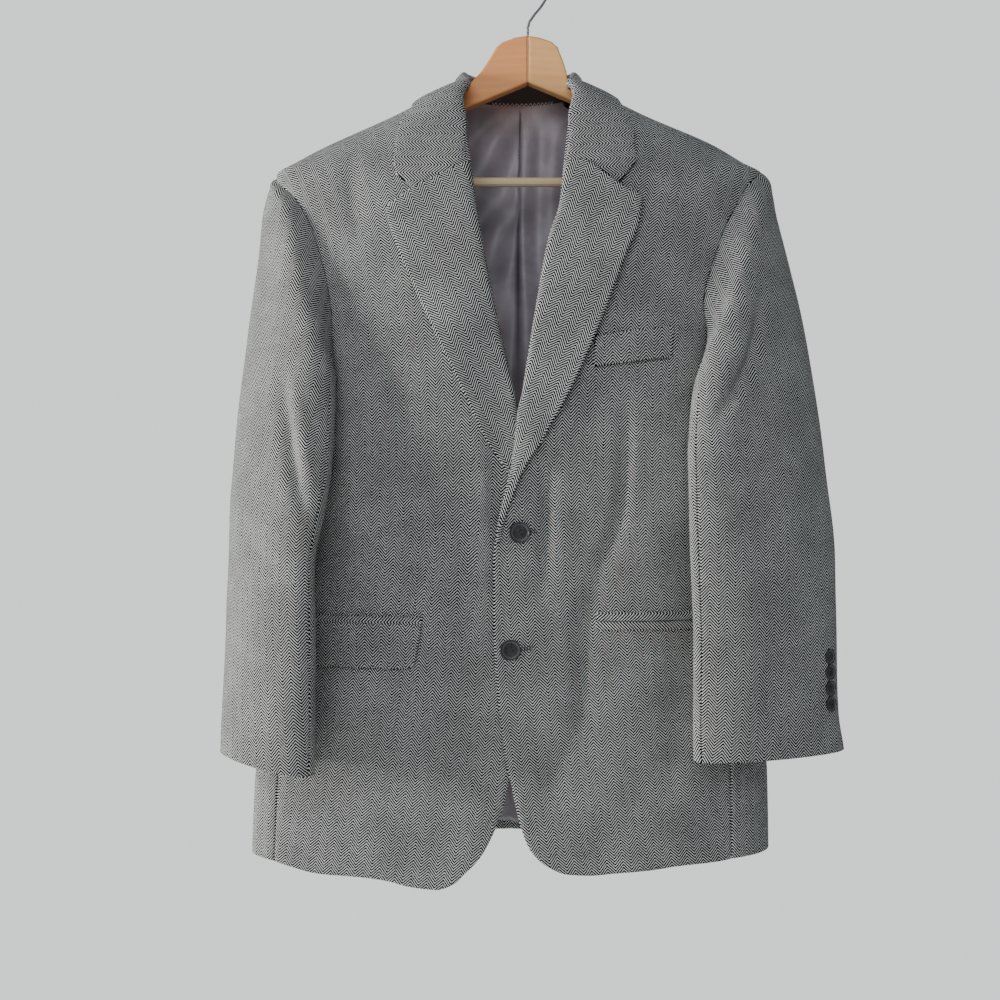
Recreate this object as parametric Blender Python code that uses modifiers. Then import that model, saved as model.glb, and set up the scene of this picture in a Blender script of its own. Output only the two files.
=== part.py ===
"""A tweed hacking jacket on a wooden hanger: every cut piece is its own thin wall of cloth.

Metres, +Z up, the front faces -Y and the wearer's left is +X. The origin is the inside top of the
hanger's hook, which carries everything. Tables are in millimetres and degrees.
"""

import math

import bmesh
import bpy
import numpy as np
from mathutils import Vector

MM = 0.001

# Driving dimensions, in millimetres.
CLOTH = 2.2              # tweed with its canvas
LINING = 1.2
SEAM = 0.4               # clearance between two panels at a seam
LIE = 0.8                # clearance under a piece that lies on a panel
LYING = 2 * LIE + CLOTH / 2   # height of a lying piece's middle over the panel
LEAF_PUFF = 3.0          # how much a lapel or the collar's leaf stands up
SLEEVE_CLEARANCE = 5.0   # from a sleeve's middle surface to the body
FRONT_BUTTON = 20.0      # 32 ligne
CUFF_BUTTON = 15.0       # 24 ligne
WIRE = 2.8               # hook
HOOK_RADIUS = 21.4       # to the middle of the wire
WOOD = 13.0              # thickness of the hanger's arms
BAR = 9.4                # trouser bar

# Level sections of the body: left and right ends, depth to the front and to the back, fullness.
BODY_COLUMNS = ("z", "left", "right", "front", "back", "power")
BODY = (
    (-92, -63, 44, 36, 46, 2.1),
    (-104, -65, 46, 38, 48, 2.1),
    (-126, -74, 54, 46, 51, 2.1),
    (-135, -91, 72, 50, 52, 2.2),
    (-146, -117, 98, 53, 54, 2.3),
    (-160, -145, 127, 56, 56, 2.4),
    (-190, -212, 197, 60, 58, 2.5),
    (-207, -245, 226, 62, 60, 2.5),
    (-217, -261, 243, 64, 61, 2.5),
    (-239, -260, 242, 66, 62, 2.6),
    (-280, -240, 222, 69, 62, 2.9),
    (-344, -220, 202, 72, 62, 3.1),
    (-400, -214, 196, 73, 60, 3.1),
    (-460, -216, 198, 72, 57, 3.0),
    (-552, -232, 213, 69, 53, 2.7),
    (-657, -252, 230, 65, 49, 2.6),
    (-761, -271, 243, 61, 46, 2.6),
    (-838, -283, 248, 58, 45, 2.7),
    (-960, -288, 250, 56, 44, 2.7),
)

# Soft folds of the two fronts: x0, z0, x1, z1 of the line, half width, and depth (a ridge is negative).
FOLDS = (
    (94, -480, 74, -600, 17, 4.0),
    (70, -610, 57, -760, 17, 4.0),
    (54, -775, 18, -860, 18, 4.5),
    (12, -530, 14, -640, 12, 2.5),
    (-56, -540, -52, -800, 24, -3.0),
    (-176, -205, -170, -300, 14, 2.5),
    (-143, -400, -126, -520, 22, 3.0),
    (-194, -585, -196, -800, 20, 7.0),
    (156, -600, 158, -800, 14, 5.0),
)

# Seams and edges of the fronts, as (x, z) seen from the front.
SIDE_SEAM_FRONT = {
    "right": ((-203, -396), (-207, -470), (-221, -560), (-237, -657), (-248, -740), (-254, -838),
              (-258, -918)),
    "left": ((186, -396), (188, -470), (196, -560), (201, -657), (203, -740), (203, -838), (204, -914)),
}
ARMHOLE_FRONT = {
    "right": ((-231, -255), (-217, -284), (-204, -329), (-198, -365)),
    "left": ((217, -241), (203, -266), (185, -311), (174, -352)),
}
ARMHOLE_BACK = {
    "right": ((-238, -250), (-219, -290), (-206, -330), (-201, -368)),
    "left": ((221, -241), (203, -275), (190, -318), (185, -360)),
}
SHOULDER_POINT = {"right": -216, "left": -204}
UNDERARM = {"right": -408, "left": -404}
HEM_FRONT = {
    "right": ((-258, -918), (-239, -922), (-211, -927), (-175, -928), (-145, -931), (-116, -938),
              (-93, -940), (-75, -934), (-66, -925)),
    "left": ((204, -914), (185, -916), (147, -918), (123, -921), (87, -924), (61, -926),
             (39, -925), (28, -922)),
}
# From the hem's rounded corner up the edge, along the roll line and to the neck seam.
EDGE = {
    "right": ((-66, -925), (-50, -909), (-37, -886), (-25, -855), (-18, -826), (-8, -790), (2, -740),
              (4, -690), (4, -610), (0, -560), (-6, -500), (-12, -461), (-24, -407), (-33, -367),
              (-42, -322), (-51, -270), (-58, -219), (-64, -176), (-68, -145)),
    "left": ((28, -922), (12, -913), (-1, -897), (-9, -875), (-15, -850), (-22, -815), (-29, -765),
             (-34, -715), (-35, -670), (-35, -612), (-32, -582), (-24, -542), (-19, -523),
             (-15, -493), (-12, -464), (-8, -445), (-2, -410), (5, -367), (18, -295), (29, -261),
             (34, -218), (39, -176), (44, -145)),
}
NECK_SEAM = {"right": -126, "left": -126, "back": -130}
CENTRE_BACK_HEM = -908
LINING_UP = 12           # from the back's hem up to the lining's
BACK_SEAM_SHARE = 1.15   # the side panel reaches this much further round to the back than to the front
FOLD_BACK = (20, 150)    # how far a sleeve stands off its armhole, underarm and shoulder
BLENDED = 0.3            # share of a sleeve's length over which it takes up its own form

# Lapels: roll line, outer edge from the bottom up to the tip, and gorge from the roll line to the notch.
LAPEL_ROLL = {
    "right": ((-7, -530), (-9, -500), (-12, -461), (-24, -407), (-33, -367), (-42, -322),
              (-51, -270), (-58, -219)),
    "left": ((-34, -594), (-30, -570), (-24, -542), (-19, -523), (-15, -493), (-12, -464), (-8, -445),
             (-2, -410), (5, -367), (18, -295), (29, -261), (34, -218)),
}
LAPEL_EDGE = {
    "right": ((-18, -532), (-26, -517), (-45, -488), (-69, -437), (-102, -367), (-130, -302),
              (-139, -272), (-140, -264)),
    "left": ((-31, -594), (-26, -572), (-19, -552), (-12, -534), (2, -507), (29, -463), (64, -389),
             (94, -310), (105, -283), (110, -255)),
}
GORGE = {
    "right": ((-58, -219), (-73, -226), (-94, -236), (-114, -246)),
    "left": ((34, -218), (52, -219), (70, -230), (86, -242)),
}
PUFF_FROM = {"right": 0.3, "left": 0.05}
COLLAR_TIP = {"right": (-131, -231), "left": (103, -220)}
COLLAR_EDGE = {"right": ((-134, -211), (-131, -192), (-125, -172), (-117, -158)),
               "left": ((103, -205), (103, -190), (98, -170), (90, -152))}
COLLAR_BACK_EDGE = ((-96, -146), (-60, -160), (-10, -167), (42, -160), (77, -146))
BAND_TURNS = (170, 10)
BAND_FOOT = ((10, -126.2), (45, -129.4), (90, -129.4), (135, -129.4), (170, -126.2))
BAND_TOP = ((10, -109), (45, -103), (90, -100.5), (135, -103), (170, -109))
FOLD_LINE = {"right": ((-62, -176), (-64, -138)), "left": ((38, -176), (43, -138))}

# Sleeves from the armhole down: outer and inner edge, middle and half of the depth, twist.
SLEEVE_COLUMNS = ("xo", "zo", "xi", "zi", "y", "depth", "twist")
SLEEVES = {
    "right": (
        (-262, -216, -216, -404, -2, 48, 0),
        (-268, -224, -203, -418, -11, 54, 14),
        (-272, -250, -193, -436, -25, 56, 36),
        (-277, -304, -191, -462, -34, 56, 44),
        (-284, -368, -191, -490, -41, 55, 46),
        (-292, -436, -192, -525, -50, 54, 46),
        (-299, -508, -198, -566, -60, 52, 46),
        (-301, -586, -206, -618, -70, 48, 46),
        (-301, -668, -206, -686, -76, 42, 42),
        (-303, -740, -206, -750, -78, 38, 38),
        (-305, -800, -207, -814, -78, 36, 36),
    ),
    "left": (
        (243, -205, 198, -400, -2, 48, 0),
        (250, -226, 184, -414, -12, 53, 14),
        (257, -258, 165, -436, -27, 55, 36),
        (267, -312, 159, -460, -36, 53, 44),
        (278, -376, 156, -486, -43, 49, 46),
        (289, -444, 154, -514, -52, 45, 46),
        (300, -528, 154, -560, -62, 39, 46),
        (306, -614, 156, -624, -68, 34, 45),
        (305, -698, 158, -700, -72, 31, 42),
        (306, -760, 157, -766, -74, 29, 40),
        (311, -799, 158, -803, -74, 28, 40),
    ),
}

# Pieces on the fronts, by their four corners (x, z): upper inner, upper outer, lower outer, lower inner.
POCKET_PIECES = {
    "breast_welt": ((65, -392), (141, -381), (138, -411), (62, -421)),
    "left_pocket_jet_upper": ((67, -664), (196, -664), (196, -671), (67, -671)),
    "left_pocket_jet_lower": ((67, -673), (196, -673), (196, -680), (67, -680)),
    "right_pocket_jet": ((-107, -668), (-236, -668), (-236, -674), (-107, -674)),
    "right_pocket_flap": ((-107, -675), (-240, -675), (-240, -718), (-112, -718)),
}
POCKET_LIE = {"breast_welt": 0.7, "right_pocket_jet": 1.3, "right_pocket_flap": 1.3}
FRONT_BUTTONS = ((-10, -584), (-19, -700))
BUTTON_COLUMN = {"right": 10.3, "left": 6.6}
CUFF_BUTTONS = {"right": (-712, -727, -742, -758), "left": (-706, -721, -737, -752)}

# Counts of cells.
SHOULDER_CELLS, ARMHOLE_CELLS, SEAM_CELLS = 9, 8, 13
UNDERARM_CELLS, NECK_CELLS = 4, 4
SLEEVE_ROWS = 20
FORE_SEAM, HIND_SEAM = 1, 11      # a sleeve's columns at its two seams

COLOURS = {
    "tweed": ((0.27, 0.27, 0.265), 0.9, 0.0),
    "lining": ((0.155, 0.145, 0.155), 0.45, 0.0),
    "navy": ((0.03, 0.035, 0.06), 0.7, 0.0),
    "horn": ((0.035, 0.033, 0.032), 0.35, 0.0),
    "wood_dark": ((0.68, 0.40, 0.21), 0.4, 0.0),
    "wood_light": ((0.80, 0.53, 0.31), 0.4, 0.0),
    "steel": ((0.55, 0.55, 0.55), 0.3, 1.0),
}


# ---------------------------------------------------------------- plain tools

def column(rows, columns, name):
    return np.array([row[columns.index(name)] for row in rows], float)


def smooth_steps(x, known_x, known_y):
    """Values on a monotone cubic curve through the known points; known_x rises."""
    known_x, known_y = np.asarray(known_x, float), np.asarray(known_y, float)
    step = np.diff(known_x)
    slope = np.diff(known_y) / step
    tangent = np.empty(len(known_x))
    tangent[0], tangent[-1] = slope[0], slope[-1]
    same = slope[:-1] * slope[1:] > 0
    mean = 2 * slope[:-1] * slope[1:] / np.where(same, slope[:-1] + slope[1:], 1)
    tangent[1:-1] = np.where(same, mean, 0)
    x = np.clip(np.asarray(x, float), known_x[0], known_x[-1])
    index = np.clip(np.searchsorted(known_x, x) - 1, 0, len(step) - 1)
    t = (x - known_x[index]) / step[index]
    return (
        known_y[index] * (1 + 2 * t) * (1 - t) ** 2
        + tangent[index] * step[index] * t * (1 - t) ** 2
        + known_y[index + 1] * t * t * (3 - 2 * t)
        + tangent[index + 1] * step[index] * t * t * (t - 1)
    )


def along(points, count, turn_weight=1.0):
    """count + 1 points at even lengths on a smooth curve through the given ones."""
    points = np.asarray(points, float)
    steps = np.diff(points, axis=0) * (turn_weight, *(1,) * (points.shape[1] - 1))
    length = np.concatenate([[0], np.cumsum(np.linalg.norm(steps, axis=1))])
    places = np.linspace(0, length[-1], count + 1)
    return np.stack([smooth_steps(places, length, points[:, k]) for k in range(points.shape[1])], 1)


def between(bottom, top, start, end, low=2.0, high=3.0, sides=1.0):
    """Grid of points between four edges: bottom and top run across, start and end run up.

    low, high and sides say how soon the shapes of the bottom, the top and the sides fade out.
    """
    u = np.linspace(0, 1, len(bottom))[None, :, None]
    v = np.linspace(0, 1, len(start))[:, None, None]
    first = (1 - v) * start[0] + v * start[-1]
    last = (1 - v) * end[0] + v * end[-1]
    flat = (1 - u) * first + u * last
    flanks = (1 - u) ** sides * (start[:, None] - first) + u**sides * (end[:, None] - last)
    foot = bottom[None] - (1 - u) * bottom[0] - u * bottom[-1]
    head = top[None] - (1 - u) * top[0] - u * top[-1]
    return flat + flanks + (1 - v) ** low * foot + v**high * head


# ---------------------------------------------------------------- the body's form

BODY_Z = column(BODY, BODY_COLUMNS, "z")[::-1]
BODY_VALUES = {name: column(BODY, BODY_COLUMNS, name)[::-1] for name in BODY_COLUMNS[1:]}


def section(z, name):
    return smooth_steps(z, BODY_Z, BODY_VALUES[name])


def signed_power(value, power):
    return np.sign(value) * np.abs(value) ** power


def fold_depth(x, z):
    """How far the soft folds push the fronts inwards."""
    total = np.zeros_like(x)
    for x0, z0, x1, z1, spread, depth in FOLDS:
        run = np.array([x1 - x0, z1 - z0], float)
        length = np.hypot(*run)
        t = ((x - x0) * run[0] + (z - z0) * run[1]) / length**2
        t_in = np.clip(t, 0, 1)
        off_line = np.hypot(x - x0 - t_in * run[0], z - z0 - t_in * run[1])
        fade = np.sin(np.pi * (0.12 + 0.76 * t_in)) ** 0.7
        total += depth * fade * np.exp(-0.5 * (off_line / spread) ** 2)
    return total


def body_base(turn, z):
    """A point of the body's outside. turn is 0 at the wearer's left, 90 at the back, 180 right, 270 front."""
    turn, z = np.broadcast_arrays(np.asarray(turn, float), np.asarray(z, float))
    angle = np.radians(turn)
    power = 2 / section(z, "power")
    left, right = section(z, "left"), section(z, "right")
    x = (left + right) / 2 + (right - left) / 2 * signed_power(np.cos(angle), power)
    side = np.sin(angle)
    depth = np.where(side < 0, section(z, "front"), section(z, "back"))
    y = depth * signed_power(side, power)
    is_front = np.clip(-side * 3, 0, 1)
    return np.stack([x, y + is_front * fold_depth(x, z), z], -1)


def body_normal(turn, z, step=0.5):
    across = body_base(np.asarray(turn) + step, z) - body_base(np.asarray(turn) - step, z)
    rise = body_base(turn, np.asarray(z) + 2 * step) - body_base(turn, np.asarray(z) - 2 * step)
    normal = np.cross(across, rise)
    return normal / np.linalg.norm(normal, axis=-1, keepdims=True)


def body(turn, z, out=0.0):
    """A point out millimetres outside the body's surface."""
    out = np.asarray(out, float)
    return body_base(turn, z) + body_normal(turn, z) * out[..., None]


def turn_of(x, z, where):
    """The turn at which the body reaches x, on the right or left front or on the back."""
    x, z = np.asarray(x, float), np.asarray(z, float)
    left, right = section(z, "left"), section(z, "right")
    share = np.clip((x - (left + right) / 2) / ((right - left) / 2), -0.9998, 0.9998)
    turn = np.degrees(np.arccos(signed_power(share, section(z, "power") / 2)))
    return {"right": 360 - turn, "left": -turn, "back": turn}[where]


def to_turns(points, where):
    points = np.asarray(points, float)
    return np.stack([turn_of(points[..., 0], points[..., 1], where), points[..., 1]], -1)


def under_lap(x, z):
    """How deep the right front lies under the left one, near the closing."""
    edge = np.interp(-z, (200, 461, 612, 700, 828, 940), (-12, -12, -35, -34, -19, 60))
    depth = np.interp(-z, (300, 440, 550, 630, 835, 890), (0, 8.5, 8.0, 4.6, 4.4, 0))
    ramp = np.clip((x - (edge - 70)) / 62, 0, 1)
    return -depth * ramp * ramp * (3 - 2 * ramp)


# ---------------------------------------------------------------- making objects

def material(name):
    found = bpy.data.materials.get(name)
    if found:
        return found
    colour, roughness, metallic = COLOURS[name]
    made = bpy.data.materials.new(name)
    made.use_nodes = True
    shader = made.node_tree.nodes["Principled BSDF"]
    shader.inputs["Base Color"].default_value = (*colour, 1)
    shader.inputs["Roughness"].default_value = roughness
    shader.inputs["Metallic"].default_value = metallic
    return made


def add_object(name, data, finish):
    made = bpy.data.objects.new(name, data)
    data.materials.append(material(finish))
    PART.objects.link(made)
    return made


def grid_faces(points):
    """Triangles of a grid of points numbered row by row, each quad cut at its shorter diagonal."""
    rows, columns = points.shape[:2]
    faces = []
    for row in range(rows - 1):
        for col in range(columns - 1):
            a = row * columns + col
            b, c, d = a + 1, a + 1 + columns, a + columns
            one = np.linalg.norm(points[row, col] - points[row + 1, col + 1])
            other = np.linalg.norm(points[row, col + 1] - points[row + 1, col])
            faces += [(a, b, c), (a, c, d)] if one <= other else [(a, b, d), (b, c, d)]
    return faces


def wall(name, outer, inner, finish):
    """A closed wall of cloth between two grids of points in millimetres."""
    rows, columns = outer.shape[:2]
    count = rows * columns
    rim = [(0, col) for col in range(columns)]
    rim += [(row, columns - 1) for row in range(1, rows)]
    rim += [(rows - 1, col) for col in range(columns - 2, -1, -1)]
    rim += [(row, 0) for row in range(rows - 2, 0, -1)]
    ring = [row * columns + col for row, col in rim]
    faces = grid_faces(outer)
    faces += [tuple(at + count for at in face[::-1]) for face in faces]
    for a, b in zip(ring, ring[1:] + ring[:1]):
        faces.append((b, a, a + count, b + count))
    points = np.concatenate([outer.reshape(-1, 3), inner.reshape(-1, 3)]) * MM
    mesh = bpy.data.meshes.new(name)
    mesh.from_pydata([tuple(point) for point in points], [], faces)
    mesh.validate()
    shaped = bmesh.new()
    shaped.from_mesh(mesh)
    bmesh.ops.recalc_face_normals(shaped, faces=shaped.faces)
    shaped.to_mesh(mesh)
    shaped.free()
    mesh.shade_smooth()
    mesh.set_sharp_from_angle(angle=math.radians(50))
    return add_object(name, mesh, finish)


def drawn_in(grid, gap):
    """The same grid of body places with its four edges moved inwards by gap millimetres."""
    points = body(grid[..., 0], grid[..., 1])
    made = grid.copy()
    for axis in (0, 1):
        for edge, near in ((0, 1), (-1, -2)):
            at = (edge, slice(None)) if axis == 0 else (slice(None), edge)
            to = (near, slice(None)) if axis == 0 else (slice(None), near)
            length = np.linalg.norm(points[to] - points[at], axis=-1)
            share = np.minimum(gap / np.maximum(length, 1e-6), 0.45)
            made[at] += (grid[to] - grid[at]) * share[..., None]
    return made


def panel(name, grid, thickness=CLOTH, out=0.0, finish="tweed", gap=SEAM / 2):
    """A cut panel on the body's form, from a grid of (turn, z)."""
    grid = drawn_in(grid, gap)
    out = np.broadcast_to(np.asarray(out, float), grid.shape[:2])
    outer = body(grid[..., 0], grid[..., 1], out)
    inner = body(grid[..., 0], grid[..., 1], out - thickness)
    return wall(name, outer, inner, finish)


def grid_normals(points, wraps=False):
    """Unit normals of a grid of points, from its own rows and columns."""
    if wraps:
        across = np.roll(points, -1, axis=1) - np.roll(points, 1, axis=1)
    else:
        across = np.gradient(points, axis=1)
    normal = np.cross(across, np.gradient(points, axis=0))
    return normal / np.maximum(np.linalg.norm(normal, axis=-1, keepdims=True), 1e-9)


def sheet(name, points, thickness, finish):
    """A wall with the given grid of points at its middle."""
    half = grid_normals(points) * thickness / 2
    return wall(name, points + half, points - half, finish)


# ---------------------------------------------------------------- body panels

def armhole(side):
    """Armhole as (turn, z): down the front, under the arm and up the back, in even steps."""
    front = to_turns(ARMHOLE_FRONT[side], side)
    back = to_turns(ARMHOLE_BACK[side], "back")
    middle = 180.0 if side == "right" else 0.0
    top = (middle, SHOULDER_POINT[side])
    seam = to_turns(SIDE_SEAM_FRONT[side][:1], side)[0]
    back_seam = (middle - (seam[0] - middle) * BACK_SEAM_SHARE, seam[1])
    bottom = (middle, UNDERARM[side])
    fore = along([top, *front, seam], ARMHOLE_CELLS, turn_weight=3.0)
    under = along([seam, bottom, back_seam], UNDERARM_CELLS)
    aft = along([back_seam, *back[::-1], top], ARMHOLE_CELLS, turn_weight=3.0)
    return fore, under, aft


def shoulder_seam(side):
    middle = 180.0 if side == "right" else 0.0
    heights = np.linspace(SHOULDER_POINT[side], NECK_SEAM[side], SHOULDER_CELLS + 1)
    return np.stack([np.full_like(heights, middle), heights], 1)


def fitted_edge(side, rows):
    """The front's free edge and roll line, up to the neck seam at the shoulder."""
    middle = 180.0 if side == "right" else 0.0
    neck = (middle, NECK_SEAM[side])
    return along([*to_turns(along(EDGE[side], 4 * rows), side), neck], rows, turn_weight=1.4)


def body_panels():
    for side in ("right", "left"):
        fore, under, aft = armhole(side)
        seam = to_turns(SIDE_SEAM_FRONT[side], side)
        seam[0] = fore[-1]
        side_seam = along(seam, SEAM_CELLS)[::-1]
        rows = SEAM_CELLS + ARMHOLE_CELLS
        outer_edge = np.concatenate([side_seam, fore[::-1][1:]])
        front_edge = fitted_edge(side, rows)
        shoulder = shoulder_seam(side)
        neck = shoulder[-1]
        hem = to_turns(along(HEM_FRONT[side], SHOULDER_CELLS), side)
        hem[0] = side_seam[0]
        grid = between(hem, shoulder, outer_edge, front_edge)
        places = body_base(grid[..., 0], grid[..., 1])
        out = under_lap(places[..., 0], places[..., 2]) if side == "right" else 0.0
        panel(side + "_front", grid, out=out)

        back_foot = (2 * shoulder[0][0] - side_seam[0][0], CENTRE_BACK_HEM + 2)
        back_seam = along([aft[0], ((aft[0][0] + back_foot[0]) / 2, -650), back_foot], SEAM_CELLS)[::-1]
        hem_side = along([side_seam[0], (shoulder[0][0], side_seam[0][1] + 4), back_seam[0]],
                         UNDERARM_CELLS)
        panel(side + "_side_panel", between(hem_side, under, side_seam, back_seam))

        centre = np.stack([np.full(rows + 1, 90.0),
                           np.linspace(CENTRE_BACK_HEM, NECK_SEAM["back"], rows + 1)], 1)
        back_edge = np.concatenate([back_seam, aft[1:]])
        neckline = along([neck, ((neck[0] + 90) / 2, NECK_SEAM["back"]), (90, NECK_SEAM["back"])],
                         NECK_CELLS)
        top = np.concatenate([shoulder, neckline[1:]])
        hem_back = along([back_seam[0], ((back_seam[0][0] + 90) / 2, CENTRE_BACK_HEM),
                          (90, CENTRE_BACK_HEM)], len(top) - 1)
        panel(side + "_back", between(hem_back, top, back_edge, centre))


def back_lining():
    """The lining of the back, which shows in the neck opening and under the front edges."""
    columns = 12
    heights = np.linspace(CENTRE_BACK_HEM + LINING_UP, NECK_SEAM["back"] + 2, 22)
    turns = 90 + np.linspace(-62, 62, columns + 1)
    narrow = np.interp(heights, (-420, -330, -230, -128), (1.0, 0.8, 0.6, 0.42))
    grid = np.empty((len(heights), columns + 1, 2))
    grid[..., 0] = 90 + (turns[None] - 90) * narrow[:, None]
    grid[..., 1] = heights[:, None]
    panel("back_lining", grid, LINING, out=-CLOTH - 3.6, finish="lining")


# ---------------------------------------------------------------- lapels and collar

def lapel(side):
    """A lapel lying on its front, from the roll line out to its edge."""
    rows = 16
    roll = to_turns(along(LAPEL_ROLL[side], rows), side)
    edge = to_turns(along(LAPEL_EDGE[side], rows), side)
    gorge = to_turns([*GORGE[side], LAPEL_EDGE[side][-1]], side)
    foot = along([roll[0], edge[0]], len(gorge) - 1)
    grid = drawn_in(between(foot, gorge, roll, edge, low=1, high=1), SEAM)
    up = np.linspace(0, 1, grid.shape[0])[:, None]
    across = np.linspace(0, 1, grid.shape[1])[None]
    puffed = np.clip((up - PUFF_FROM[side]) / 0.25, 0, 1)
    height = LYING + LEAF_PUFF * np.sin(np.pi * (0.15 + 0.85 * across) ** 0.7) * puffed
    if side == "right":
        places = body_base(grid[..., 0], grid[..., 1])
        height = height + under_lap(places[..., 0], places[..., 2])
    points = body(grid[..., 0], grid[..., 1], height)
    sheet(side + "_lapel", points[:, ::-1] if side == "right" else points, CLOTH, "tweed")


def collar_line(right_points, back_points, left_points, count):
    """A line round the neck as (turn, z): up the right front, over the back, down the left front."""
    right = to_turns(right_points, "right")
    left = to_turns(left_points, "left")
    return along([*right, *back_points, *left[::-1]], count, turn_weight=2.5)


def collar():
    """The collar's leaf, from its fold line down over the shoulders, and the band it turns over."""
    count = 44
    back_edge = to_turns(COLLAR_BACK_EDGE, "back")
    edge = collar_line(
        (COLLAR_TIP["right"], *COLLAR_EDGE["right"]), ((180, -138), *back_edge, (0, -133)),
        (COLLAR_TIP["left"], *COLLAR_EDGE["left"]), count)
    fold = collar_line(
        (GORGE["right"][0], *FOLD_LINE["right"]),
        ((180, -106), (135, -100), (90, -99), (45, -100), (0, -106)),
        (GORGE["left"][0], *FOLD_LINE["left"]), count)
    start = to_turns([*GORGE["right"], COLLAR_TIP["right"]], "right")
    end = to_turns([*GORGE["left"], COLLAR_TIP["left"]], "left")
    leaf = drawn_in(between(fold, edge, start, end, low=1, high=1, sides=12), SEAM)
    across = np.linspace(0, 1, leaf.shape[0])[:, None]
    height = LYING + LEAF_PUFF * np.sin(np.pi * across**0.7)
    height = np.broadcast_to(height, leaf.shape[:2])
    sheet("collar", body(leaf[..., 0], leaf[..., 1], height)[::-1], CLOTH, "tweed")

    turns = np.linspace(*BAND_TURNS, 17)
    top = np.interp(turns[::-1], *zip(*BAND_TOP))[::-1]
    foot = np.interp(turns[::-1], *zip(*BAND_FOOT))[::-1]
    share = np.linspace(0, 1, 4)[:, None]
    band = np.empty((4, len(turns), 2))
    band[..., 0] = turns
    band[..., 1] = foot + (top - foot) * share
    points = body(band[..., 0], band[..., 1], np.full(band.shape[:2], LIE - CLOTH / 2))
    sheet("neck_band", points, CLOTH, "navy")


# ---------------------------------------------------------------- sleeves

def sleeve_grid(side, rows, around):
    """Middle points of a sleeve: rows from the armhole to the cuff, around from underarm over the front."""
    table = SLEEVES[side]
    share = np.linspace(0, 1, rows + 1)
    steps = np.linspace(0, 1, len(table))
    value = {name: smooth_steps(share, steps, column(table, SLEEVE_COLUMNS, name))[:, None]
             for name in SLEEVE_COLUMNS}
    angle = np.radians(around)[None]
    x = (value["xo"] + value["xi"]) / 2 + (value["xi"] - value["xo"]) / 2 * np.cos(angle)
    z = (value["zo"] + value["zi"]) / 2 + (value["zi"] - value["zo"]) / 2 * np.cos(angle)
    y = value["y"] - value["depth"] * np.sin(angle + np.radians(value["twist"]))
    return np.stack([x, y, z], -1)


def clear_of_body(points, highest, clearance=SLEEVE_CLEARANCE):
    """The points below a height, moved out where they are in the body or too near it."""
    x, y, z = points[..., 0], points[..., 1], points[..., 2]
    left, right = section(z, "left"), section(z, "right")
    power = section(z, "power")
    depth = np.where(y < 0, section(z, "front"), section(z, "back")) + clearance
    off_centre = x - (left + right) / 2
    level = np.abs(off_centre / ((right - left) / 2 + clearance)) ** power + np.abs(y / depth) ** power
    grow = np.where((level < 1) & (z < highest), np.maximum(level, 0.05) ** (-1 / power), 1.0)
    return np.stack([x + off_centre * (grow - 1), y * grow, z], -1)


def sleeve(side):
    fore, under, aft = armhole(side)
    loop = np.concatenate([fore[::-1], aft[::-1][1:], under[::-1][1:-1]])
    places = body(loop[:, 0], loop[:, 1], -CLOTH / 2)
    count = len(loop)
    step_in = np.roll(places, -1, axis=0) - np.roll(places, 1, axis=0)
    outward = body_normal(loop[:, 0], loop[:, 1])
    away = np.cross(step_in, outward)
    away /= np.linalg.norm(away, axis=1, keepdims=True)
    if np.sum(away * (places.mean(axis=0) - places)) < 0:
        away = -away
    around = np.interp(np.arange(count), (0, ARMHOLE_CELLS, count), (0, 180, 360))
    low, high = FOLD_BACK
    fold_back = np.radians(low + (high - low) * np.cos(np.radians(around / 2)) ** 2)
    lift = (CLOTH + SEAM) * (1 - np.cos(fold_back)) / 2
    gap = SEAM + CLOTH / 2 * np.sin(fold_back)
    start = places + away * gap[:, None] + outward * lift[:, None]
    grid = sleeve_grid(side, SLEEVE_ROWS, around)
    fade = np.clip(1 - np.linspace(0, 1, SLEEVE_ROWS + 1) / BLENDED, 0, 1) ** 2
    grid = grid + (start - grid[0])[None] * fade[:, None, None]
    grid[1:] = clear_of_body(grid[1:], UNDERARM[side] + 14)
    normal = grid_normals(grid, wraps=True)
    if side == "left":
        normal = -normal
    return grid, normal


def sleeve_pieces(side):
    grid, normal = sleeve(side)
    count = grid.shape[1]
    top = np.arange(FORE_SEAM, HIND_SEAM + 1)
    below = np.arange(HIND_SEAM, count + FORE_SEAM + 1) % count
    for name, chosen in (("_top_sleeve", top), ("_under_sleeve", below)):
        points, out = grid[:, chosen].copy(), normal[:, chosen] * CLOTH / 2
        for edge, near in ((0, 1), (-1, -2)):
            way = points[:, near] - points[:, edge]
            points[:, edge] += way / np.linalg.norm(way, axis=1, keepdims=True) * SEAM / 2
        wall(side + name, points + out, points - out, "tweed")


# ---------------------------------------------------------------- trim

def pocket_piece(name, corners, side):
    upper_in, upper_out, lower_out, lower_in = (np.array(corner, float) for corner in corners)
    tall = 2 if abs(upper_in[1] - lower_in[1]) > 12 else 1
    top = along([upper_in, upper_out], 8)
    bottom = along([lower_in, lower_out], 8)
    start = along([lower_in, upper_in], tall)
    end = along([lower_out, upper_out], tall)
    grid = between(bottom, top, start, end)
    points = body(turn_of(grid[..., 0], grid[..., 1], side), grid[..., 1],
                  np.full(grid.shape[:2], POCKET_LIE.get(name, 2 * LIE) + CLOTH / 2))
    if side == "right":
        points = points[:, ::-1]
    sheet(name, points, CLOTH, "tweed")


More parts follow.
